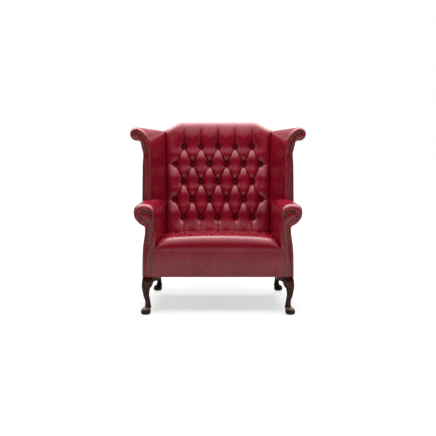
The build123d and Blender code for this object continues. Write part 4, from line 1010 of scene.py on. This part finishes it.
def rolled_over(steps, power):
    """Shares of the run and of the rise along leather that leans over faster and faster.

    Its tilt from upright is 90 degrees times (share of the way) ^ power. The run is the running sum
    of the tilt's sine and the rise that of its cosine, each divided by its total."""
    tilt = np.pi / 2 * ((np.arange(steps) + 0.5) / steps) ** power
    run, rise = np.cumsum(np.sin(tilt)), np.cumsum(np.cos(tilt))
    return run / run[-1], rise / rise[-1]


# %% Points of the back
def back_points():
    """Columns of the back's closed profile, from side to side.

    The columns stand closer at the sides, where the crest turns down. The roll is fat in the middle
    and tight at the shoulders. Behind it the profile rounds the rear edge and follows the webbing."""
    share = np.linspace(-1, 1, 401)
    share = share * (1 + 0.06 * (1 - share**2))
    centre = share * back_reach
    top = crest_height(centre)
    tight = smooth(share_of(np.abs(centre), 0.205, 0.290))
    roll_rise, roll_run = 0.100 - 0.058 * tight, 0.066 - 0.020 * tight
    z_face = back_low + (top - roll_rise - back_low) * np.linspace(0, 1, face_steps)[:, None]
    y_face = face_plane(z_face)
    run, rise = rolled_over(roll_steps - 1, 1.5)
    z_roll = top - roll_rise + roll_rise * rise[:, None]
    y_roll = face_plane(z_roll) + (roll_run - rake * roll_rise) * run[:, None]
    rear_round, rear_drop = 0.020, 0.028
    rear_plane = rail_plane(top) + post_depth - 0.001
    fall = np.linspace(0, np.pi / 2, 9)[:, None]
    z_back = top - rear_round + rear_round * np.cos(fall)
    y_back = rear_plane - rear_round + rear_round * np.sin(fall)
    z_down = top - rear_round - rear_drop * np.linspace(0, 1, 5)[1:, None]
    y_down = rear_plane + (z_down - top + rear_round) * rake
    z_under = z_down[-1:] + (back_low - z_down[-1:]) * np.linspace(0, 1, rear_steps)[1:, None]
    y_under = rail_plane(z_under) - 0.004
    z = np.vstack([z_face, z_roll, z_back, z_down, z_under])
    y = np.vstack([y_face, y_roll, y_back, y_down, y_under])
    return share * back_half(z), y, z


back_x, back_y, back_z = back_points()
print("back profile:", back_z.shape[0], "points in", back_z.shape[1], "columns")

# %% Buttoning of the back
below_seat, over_roll = 0.395, 1.13
pleats, back_button_places = pleat_list(back_pitch, back_rows, (5, 6), below_seat, over_roll, back_reach,
                                        over=(0.22, 0.06, 0.0, 0.06, 0.22))
# The roll continues the face: its heights are counted along the leather, and not straight up.
roll = slice(face_steps, face_steps + roll_steps - 1)
step_y, step_z = (np.diff(line[face_steps - 1:roll.stop], axis=0) for line in (back_y, back_z))
along = back_z.copy()
along[roll] = along[face_steps - 1] + np.cumsum(np.hypot(step_y, step_z), axis=0)
height, dye_and_shade = buttoned(back_x, along, pleats, back_button_places, spread=0.038, crease=0.0026, hollow=0.080)
print("pleats:", len(pleats), "buttons:", len(back_button_places))

# %% Back cushion
# The push is straight back on the face and turns downwards over the roll, where it dies away.
turn = np.zeros((len(back_x), 1))
turn[roll, 0] = np.linspace(0, np.pi / 2, roll_steps)[1:]
front_share = np.cos(turn) ** 0.5
front_share[roll.stop:] = 0
side_margin, margin_depth = 0.040, 0.62
margin = np.clip((back_half(back_z) - np.abs(back_x)) / side_margin, 0, 1)
margin_fall = margin_depth * (1 - np.sqrt(1 - (1 - margin) ** 2))
sunk = back_depth * (1 - height * (1 - margin_fall)) * front_share
back_grid = np.stack(
    [back_x, back_y + front + sunk * np.cos(turn), back_z - 0.7 * sunk * np.sin(turn)], axis=-1)
# The darkening, painted shade in the button pits and dye and painted shade in the creases, fades over the
# roll with the push.
back_dye_and_shade = np.clip(0.9 * dye_and_shade * front_share, 0, 1)
back = add_tube("back_cushion", back_grid.transpose(1, 0, 2), hide, 60, {"dye_and_shade": back_dye_and_shade.T})
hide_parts("back_pad")
print("back cushion:", back_grid.shape)

# %% [markdown]
# ## Seat
#
# The seat and its front border are one cover. Its profile starts under the front edge, runs up the
# flat border, rolls over the nose and falls gently to the back, where it disappears under the back
# cushion. Five pleats run from the first row of buttons over the nose and down the border to its edge.
# Towards the arms the cover dives down, so the seat looks crowned from the front.

# %% Profile of the seat
seat_pitch, seat_first, seat_spacing = 0.130, 0.120, 0.115
seat_rows = [seat_first + i * seat_spacing for i in range(3)]
seat_depth = 0.034
seat_end = 0.560
crest_depth, crest_rise, nose_low = 0.046, 0.0155, 0.361
seat_top, seat_fall = 0.426, 0.027
border_steps, border_ahead, border_half = 56, 0.0015, 0.3668
base_gap, arm_gap = 0.0004, 0.0004


def seat_profile():
    """Depth and height along the seat's leather at the middle, and the length covered so far.

    The border is upright to its shoulder. Over the nose the leather leans slowly at first and then
    faster, and the top falls straight to the back."""
    border = np.linspace(0, 1, border_steps)[:, None] * (0, nose_low - base_height)
    border = border + (-border_ahead, base_height + base_gap)
    run, rise = rolled_over(90, 1.6)
    nose = np.stack([(crest_depth + border_ahead) * run - border_ahead,
                     nose_low + (seat_top - nose_low) * rise], axis=-1)
    share = np.linspace(0, 1, 150)[1:]
    top = np.stack([crest_depth + (seat_end - crest_depth) * share, seat_top - seat_fall * share], axis=-1)
    line = np.vstack([border, nose, top])
    return line, length_along(line)


def seat_half(depth, height):
    """Half width of the seat: to the facings at the border, and to the arms above and behind it."""
    inside = drawn_in(np.full(np.shape(depth), arm_inside), np.maximum(depth, rim_depth)) - arm_gap
    return border_half + (inside - border_half) * smooth(share_of(height, 0.372, 0.404))


# %% Points of the seat
def seat_points():
    """Columns of the seat's closed profile from side to side, with the buttoning pushed in.

    The crown rises to the middle as a parabola, and the dive at the arms is a quarter of an oval,
    deeper at the nose than at the back. The border swells a little between its top and its foot."""
    line, length = seat_profile()
    share = np.linspace(-1, 1, 361)
    share = np.sign(share) * (1 - (1 - np.abs(share)) ** 1.12)
    depth, height = line[:, :1], line[:, 1:]
    half = seat_half(depth, height)
    x = share * half
    # Heights on the buttoned face are lengths along the leather, with the first row at its depth.
    first_row = np.interp(seat_first, line[border_steps:, 0], length[border_steps:])
    along = (length - first_row + seat_first)[:, None] + 0 * x
    below_border, under_back, past_arms = along.min() - 0.01, 0.62, 0.36
    pleats, places = pleat_list(seat_pitch, seat_rows, (5, 4), below_border, under_back, past_arms,
                                low_break=0.060)
    raised, dye_and_shade = buttoned(x, along, pleats, places, spread=0.044, crease=0.0028, hollow=0.080)
    nose_share = share_of(height, nose_low, 0.422)
    sunk = seat_depth * (1 - raised) * (0.50 + 0.50 * nose_share**1.5)
    crown = crest_rise * (1 - share**2) * share_of(height, nose_low, seat_top)
    dive_reach, nose_dive, rear_dive = 0.080, 0.042, 0.014
    aside = np.clip((half - np.abs(x)) / dive_reach, 0, 1)
    dive_depth = nose_dive + (rear_dive - nose_dive) * share_of(depth, 0.10, 0.45)
    dive = dive_depth * (1 - np.sqrt(np.clip(1 - (1 - aside) ** 2.2, 0, 1))) * nose_share
    bulge = 0.0028 * np.sin(np.pi * share_of(height, base_height, nose_low))
    inwards = outward(line)[:, None]
    y = depth + inwards[..., 0] * (sunk - bulge)
    z = height + inwards[..., 1] * sunk + crown - dive
    # The cover closes along the webbing and behind the border.
    behind, under = 0.0165, 0.3120
    rear = np.array([
        [seat_end + 0.045, 0.400], [seat_end + 0.045, under], [0.30, under], [behind + 0.024, under],
        [behind, under - 0.004], [behind, base_height + 0.002], [0.006, base_height + base_gap]])
    closing = seat_half(rear[:, :1], rear[:, 1:]) * share
    x = np.vstack([x, closing])
    y = np.vstack([y, rear[:, :1] + 0 * closing])
    z = np.vstack([z, rear[:, 1:] + 0 * closing])
    # The darkening, painted shade in the button pits and dye and painted shade in the creases, is weaker on
    # the border than on the top.
    dye_and_shade_rows = np.vstack([dye_and_shade * (0.35 + 0.55 * nose_share), 0 * closing])
    return np.stack([x, y + front, z], axis=-1), np.clip(dye_and_shade_rows, 0, 1), places


# %% Seat cushion
seat_grid, seat_dye_and_shade, seat_button_places = seat_points()
seat = add_tube("seat_cushion", seat_grid.transpose(1, 0, 2), hide, 60, {"dye_and_shade": seat_dye_and_shade.T})
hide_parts("seat_pad")
print("seat cushion:", seat_grid.shape, "buttons:", len(seat_button_places))

# %% [markdown]
# ## Buttons
#
# A covered button is a metal shell with leather drawn round it: a low dome with a soft edge. All the
# buttons of a cushion are one piece, placed by turning the dome to the slope of the cushion.

# %% Buttons
# The slope of the seat's top is in degrees, and its crown ends half a seat from the middle.
button_radius, button_sides, button_share = 0.0094, 18, 0.80
seat_slope, crown_half = 2.5, 0.34


def add_buttons(name, places, tilt, node):
    """Domes at their places, turned about X by the tilt that faces them out of the cushion.

    A dome's profile is its radius as a share of the button's, and its height."""
    profile = np.array([(0.80, -0.0045), (0.97, -0.0022), (1.0, 0.0), (0.95, 0.0022), (0.78, 0.0042),
                        (0.50, 0.0055), (0.20, 0.0060)])
    rings = turned(button_radius * profile[:, 0], -profile[:, 1], button_sides)
    corners, quads, triangles = capped_tube(rings)
    corners = corners @ np.array(Matrix.Rotation(tilt, 3, "X")).T
    corners, quads, triangles = repeated(corners, quads, triangles, places)
    unfolded = {"dye_and_shade": np.zeros(len(corners))}
    # The buttons wear the darker leather, painted shade for their pits.
    piece = add_piece(name, corners, quads, triangles, shaded_button_hide, attributes=unfolded)
    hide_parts(node)


def seat_surface(x, depth):
    """Height of the seat's crowned top before its buttoning."""
    fall = seat_fall * (depth - crest_depth) / (seat_end - crest_depth)
    return seat_top - fall + crest_rise * (1 - (x / crown_half) ** 2)


back_places = [(x, face_plane(z) + front + back_depth * button_share, z) for x, z in back_button_places]
add_buttons("back_leather_buttons", back_places, -back_tilt, "back_buttons")
seat_places = [(x, depth + front, seat_surface(x, depth) - seat_depth * button_share)
               for x, depth in seat_button_places]
add_buttons("seat_leather_buttons", seat_places, -math.radians(90 - seat_slope), "seat_buttons")
print("buttons placed:", len(back_places) + len(seat_places))

# %% [markdown]
# ## Outside panels
#
# The outsides of the arms and wings and the rear of the back are thin padded panels, blind-stitched
# to the roll above and tacked under the frame. They are nearly flat, with a slight crown, and they
# turn in at their edges.

# %% Points of the side panels
def panel_points(face, thickness, crown):
    """A padded side panel over a grid of points on its outline, which faces out of the chair along X.

    Its face is crowned by (1 - u^6) (1 - v^6), with u and v from -1 to 1 across the grid, and turns in
    at its very edges. Its rear lies a thickness behind the grid."""
    edge_turn = 0.0016
    rows, columns, _ = face.shape
    u = np.linspace(-1, 1, rows)[:, None]
    v = np.linspace(-1, 1, columns)[None, :]
    swell = crown * (1 - u**6) * (1 - v**6) - edge_turn * (u**24 + v**24)
    swollen = face + np.stack([swell, 0 * swell, 0 * swell], axis=-1)
    rear = face[:, ::-1] - (thickness, 0, 0)
    return np.concatenate([swollen, rear], axis=1)


def arm_panel():
    """The outside arm: the flank of the arm from the base to three quarters of its height.

    It runs from behind the rim to the rear, which leans back as the post does."""
    flank_samples = 60
    flank = even(arm_roll[:flank_samples], 40)
    first = rim_depth + 0.0005
    rear = rail_plane(flank[:, 1]) + post_depth + 0.0007
    depth = first + (rear - first) * np.linspace(0, 1, 60)[:, None]
    return np.stack([drawn_in(flank[:, 0], depth), depth + front, flank[:, 1] + 0 * depth], axis=-1)


def wing_panel():
    """The outside wing: the flank of the wing below its scroll, from the rim to the rear of the post."""
    flank_stretches, stretches, panel_foot = 5, len(wing_rim_shares) - 1, 0.585
    grid = wing_grid[rim_ring_count:, :int(samples * flank_stretches / stretches)]
    start = np.argmax(grid[0, :, 2] > panel_foot)
    return grid[:, start:]


# %% Side panels
panel_lift, panel_thickness, panel_crown = np.array([0.0004, 0, 0]), 0.004, 0.0012
for side, label in ((1, "right"), (-1, "left")):
    points = panel_points(arm_panel() + panel_lift, panel_thickness, panel_crown)
    panel = add_tube(label + "_arm_panel", mirror(points, side), hide)
    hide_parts(label + "_outside_arm")
    points = panel_points(wing_panel() + panel_lift, panel_thickness, panel_crown)
    panel = add_tube(label + "_wing_panel", mirror(points, side), hide)
    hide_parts(label + "_outside_wing")
print("side panels:", arm_panel().shape, "and", wing_panel().shape, "points")


# %% Outside back
def back_panel_points():
    """The outside back: rows from the base to the crest, each as wide as the chair's rear there.

    Its rows follow the posts, and its top edge the crest. Its face is crowned by (1 - u^5) (1 - v^5)."""
    top_row, below_crest = 1.0745, 0.011
    z = np.concatenate([np.linspace(base_height, bend_height, 24), np.linspace(bend_height, top_row, 90)[1:]])
    share = np.linspace(-1, 1, 90)
    arm_edge = np.interp(z, [base_height, arm_height], [0.4031, 0.398])
    half = np.where(z < 0.62, arm_edge, np.interp(z, [0.62, 0.962, 1.025], [0.3975, 0.3975, back_top_half]))
    across = share * half[:, None]
    rise = np.minimum(z[:, None], crest_height(across) - below_crest)
    depth = rail_plane(rise) + post_depth + front
    u = np.linspace(-1, 1, len(z))[:, None]
    swell = 0.0015 + 0.006 * (1 - np.abs(u) ** 5) * (1 - np.abs(share) ** 5)
    face = np.stack([across, depth + swell, rise], axis=-1)
    rear = np.stack([across, depth + 0.0002, rise], axis=-1)[:, ::-1]
    return np.concatenate([face, rear], axis=1)


outside_back = add_tube("rear_panel", back_panel_points(), hide)
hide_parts("outside_back")
print("rear panel made")

# %% [markdown]
# ## Legs
#
# A cabriole leg is sawn from a square block and rounded by hand: the knee swells out over the corner,
# the ankle draws in, and the pad foot turns out again. Sections of a rounded square, from nearly
# square at the top to nearly round at the ankle, are stacked along the lean of the leg.

# %% Sections of a leg
# Height above the floor, lean, size and roundness, each as a share, from the block to the sole.
leg_shares = np.array([
    (1.000, 0.00, 1.00, 0.30), (0.900, 0.33, 0.98, 0.50), (0.790, 0.66, 0.86, 0.70),
    (0.687, 0.87, 0.71, 0.80), (0.560, 0.87, 0.55, 0.86), (0.440, 0.67, 0.48, 0.90),
    (0.335, 0.44, 0.45, 0.92), (0.240, 0.36, 0.51, 0.92), (0.160, 0.64, 0.70, 0.92),
    (0.075, 1.00, 0.87, 0.92), (0.025, 1.03, 0.76, 0.92), (0.014, 1.00, 0.60, 0.92)])
leg_block, foot_reach, glide_height = 0.064, 0.018, 0.003


def leg_sections(centre, toward):
    """Rounded squares up the leg. Each is a superellipse whose power falls from square to round.

    The lowest sections draw in towards the sole, and lie closer together."""
    sole_round, sole_depth = 0.03, 0.022
    order = leg_shares[::-1]
    heights = np.concatenate([[0.014, 0.017, 0.021, 0.026], np.linspace(0.033, 1.0, 70)])
    curves = [lath(order[:, [0, i]], 600, flats=False) for i in (1, 2, 3)]
    lean, size, roundness = (np.interp(heights, curve[:, 0], curve[:, 1]) for curve in curves)
    tuck = np.clip((sole_round - heights) / sole_depth, 0, 1)
    size = size * np.sqrt(1 - 0.5 * tuck**2)
    angle = np.arange(48) * 2 * np.pi / 48
    power = 2 / (2 + 7 * (1 - np.clip(roundness, 0, 1))[:, None] ** 1.2)
    across = np.sign(np.cos(angle)) * np.abs(np.cos(angle)) ** power
    deep = np.sign(np.sin(angle)) * np.abs(np.sin(angle)) ** power
    half, reach = (leg_block / 2 * size)[:, None], (foot_reach * lean)[:, None]
    x = centre[0] + reach + half * across
    y = centre[1] + toward * reach + half * deep
    z = (heights * base_height)[:, None] + 0 * x
    return np.stack([x, y + front, np.maximum(z, glide_height)], axis=-1)


# %% Ears beside the knee
def ear_points(centre, along, out):
    """The ear beside the knee: a curved wedge under the rail, with softened edges.

    Its underside is a curve from the rail's end of the ear down to the knee, and its outer face is
    rounded like the knee itself. along and out are its directions, along the rail and outwards."""
    half, thickness, edge_round = leg_block / 2, 0.034, 0.004
    tip = half + 0.024
    pins = [(tip + 0.002, 0.0), (tip, 0.018), (0.95 * half, 0.026), (0.70 * half, 0.040),
            (0.38 * half, 0.062)]
    reach, drop = lath(pins, 26, flats=False).T[..., None]
    angle = np.linspace(0, np.pi, 15)
    edge = np.abs(np.cos(angle)) ** 6
    inset = thickness * (0.5 - 0.5 * np.cos(angle)) + 0 * reach
    low = np.stack([reach - edge_round * edge, inset, drop * (1 - 0.10 * edge)], axis=-1)
    high = low[:, ::-1] * (1, 1, 0)
    loop = np.concatenate([low, high], axis=1)
    outer = half - edge_round - loop[..., 1]
    x = centre[0] + along[0] * loop[..., 0] + out[0] * outer
    y = centre[1] + along[1] * loop[..., 0] + out[1] * outer
    return np.stack([x, y + front, base_height - loop[..., 2] - 0.0002], axis=-1)


# %% Cabriole legs
def add_leg(name, centre, toward, node, side):
    """A leg and its two ears as one piece."""
    shapes = [leg_sections(centre, toward)]
    for along, out in (((-1, 0), (0, toward)), ((0, -toward), (1, 0))):
        shapes.append(ear_points(centre, along, out))
    corners, quads, triangles = [], [], []
    count = 0
    for shape in shapes:
        points, fours, threes = capped_tube(mirror(shape, side))
        fours, threes = outwards(points, fours, threes)
        corners.append(points)
        quads.append(fours + count)
        triangles.append(threes + count)
        count += len(points)
    piece = add_piece(name, np.vstack(corners), np.vstack(quads), np.vstack(triangles), leg_wood, 50)
    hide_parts(node)


leg_places = {"front": ((0.386, 0.030), -1), "rear": ((0.374, 0.6225), 1)}
for end, (centre, toward) in leg_places.items():
    for side, label in ((1, "right"), (-1, "left")):
        add_leg(label + "_" + end + "_cabriole", centre, toward, label + "_" + end + "_leg", side)
print("legs made at", leg_places)

# %% [markdown]
# ## Dust cover
#
# The frame is closed underneath with a thin black lining, tacked along the rails and cut back round
# the legs. It sags a few millimetres between its tacks.

# %% Points and faces of the dust cover
def lining_faces():
    """A level grid under the frame, sagging in the middle, without the faces over the legs and ears.

    The sag is (1 - across^2) sin(180 degrees times the share of the depth)."""
    rows, columns, sag_depth = 61, 79, 0.004
    block_reach, block_half, block_shift = 0.058, 0.044, 0.008
    ear_half, ear_reach = 0.036, 0.062
    depth = np.linspace(0.0152, 0.6340, rows)
    share = np.linspace(-1, 1, columns)
    x = share * drawn_in(np.full(rows, 0.3925), depth)[:, None]
    sag = sag_depth * (1 - share**2) * np.sin(np.pi * np.linspace(0, 1, rows))[:, None]
    z = base_height - 0.0008 - sag
    corners = np.stack([x, depth[:, None] + front + 0 * x, z], axis=-1).reshape(-1, 3)
    faces = grid_faces(rows, columns, False)
    middle = corners[faces].mean(axis=1)
    middle_x, middle_y = np.abs(middle[:, 0]), middle[:, 1] - front
    keep = np.ones(len(faces), bool)
    for (leg_x, leg_y), toward in leg_places.values():
        beside = np.abs(middle_y - leg_y + toward * block_shift) < block_half
        block = (middle_x > leg_x - block_reach) & beside
        ear = (np.abs(middle_x - leg_x) < ear_half) & (np.abs(middle_y - leg_y) < ear_reach)
        keep &= ~block & ~ear
    return corners, faces[keep]


# %% Dust cover
corners, quads = lining_faces()
used, numbers = np.unique(quads, return_inverse=True)
no_triangles = np.zeros((0, 3), int)
lining_piece = add_piece("dust_lining", corners[used], numbers.reshape(-1, 4)[:, ::-1], no_triangles, lining)
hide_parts("dust_cover")
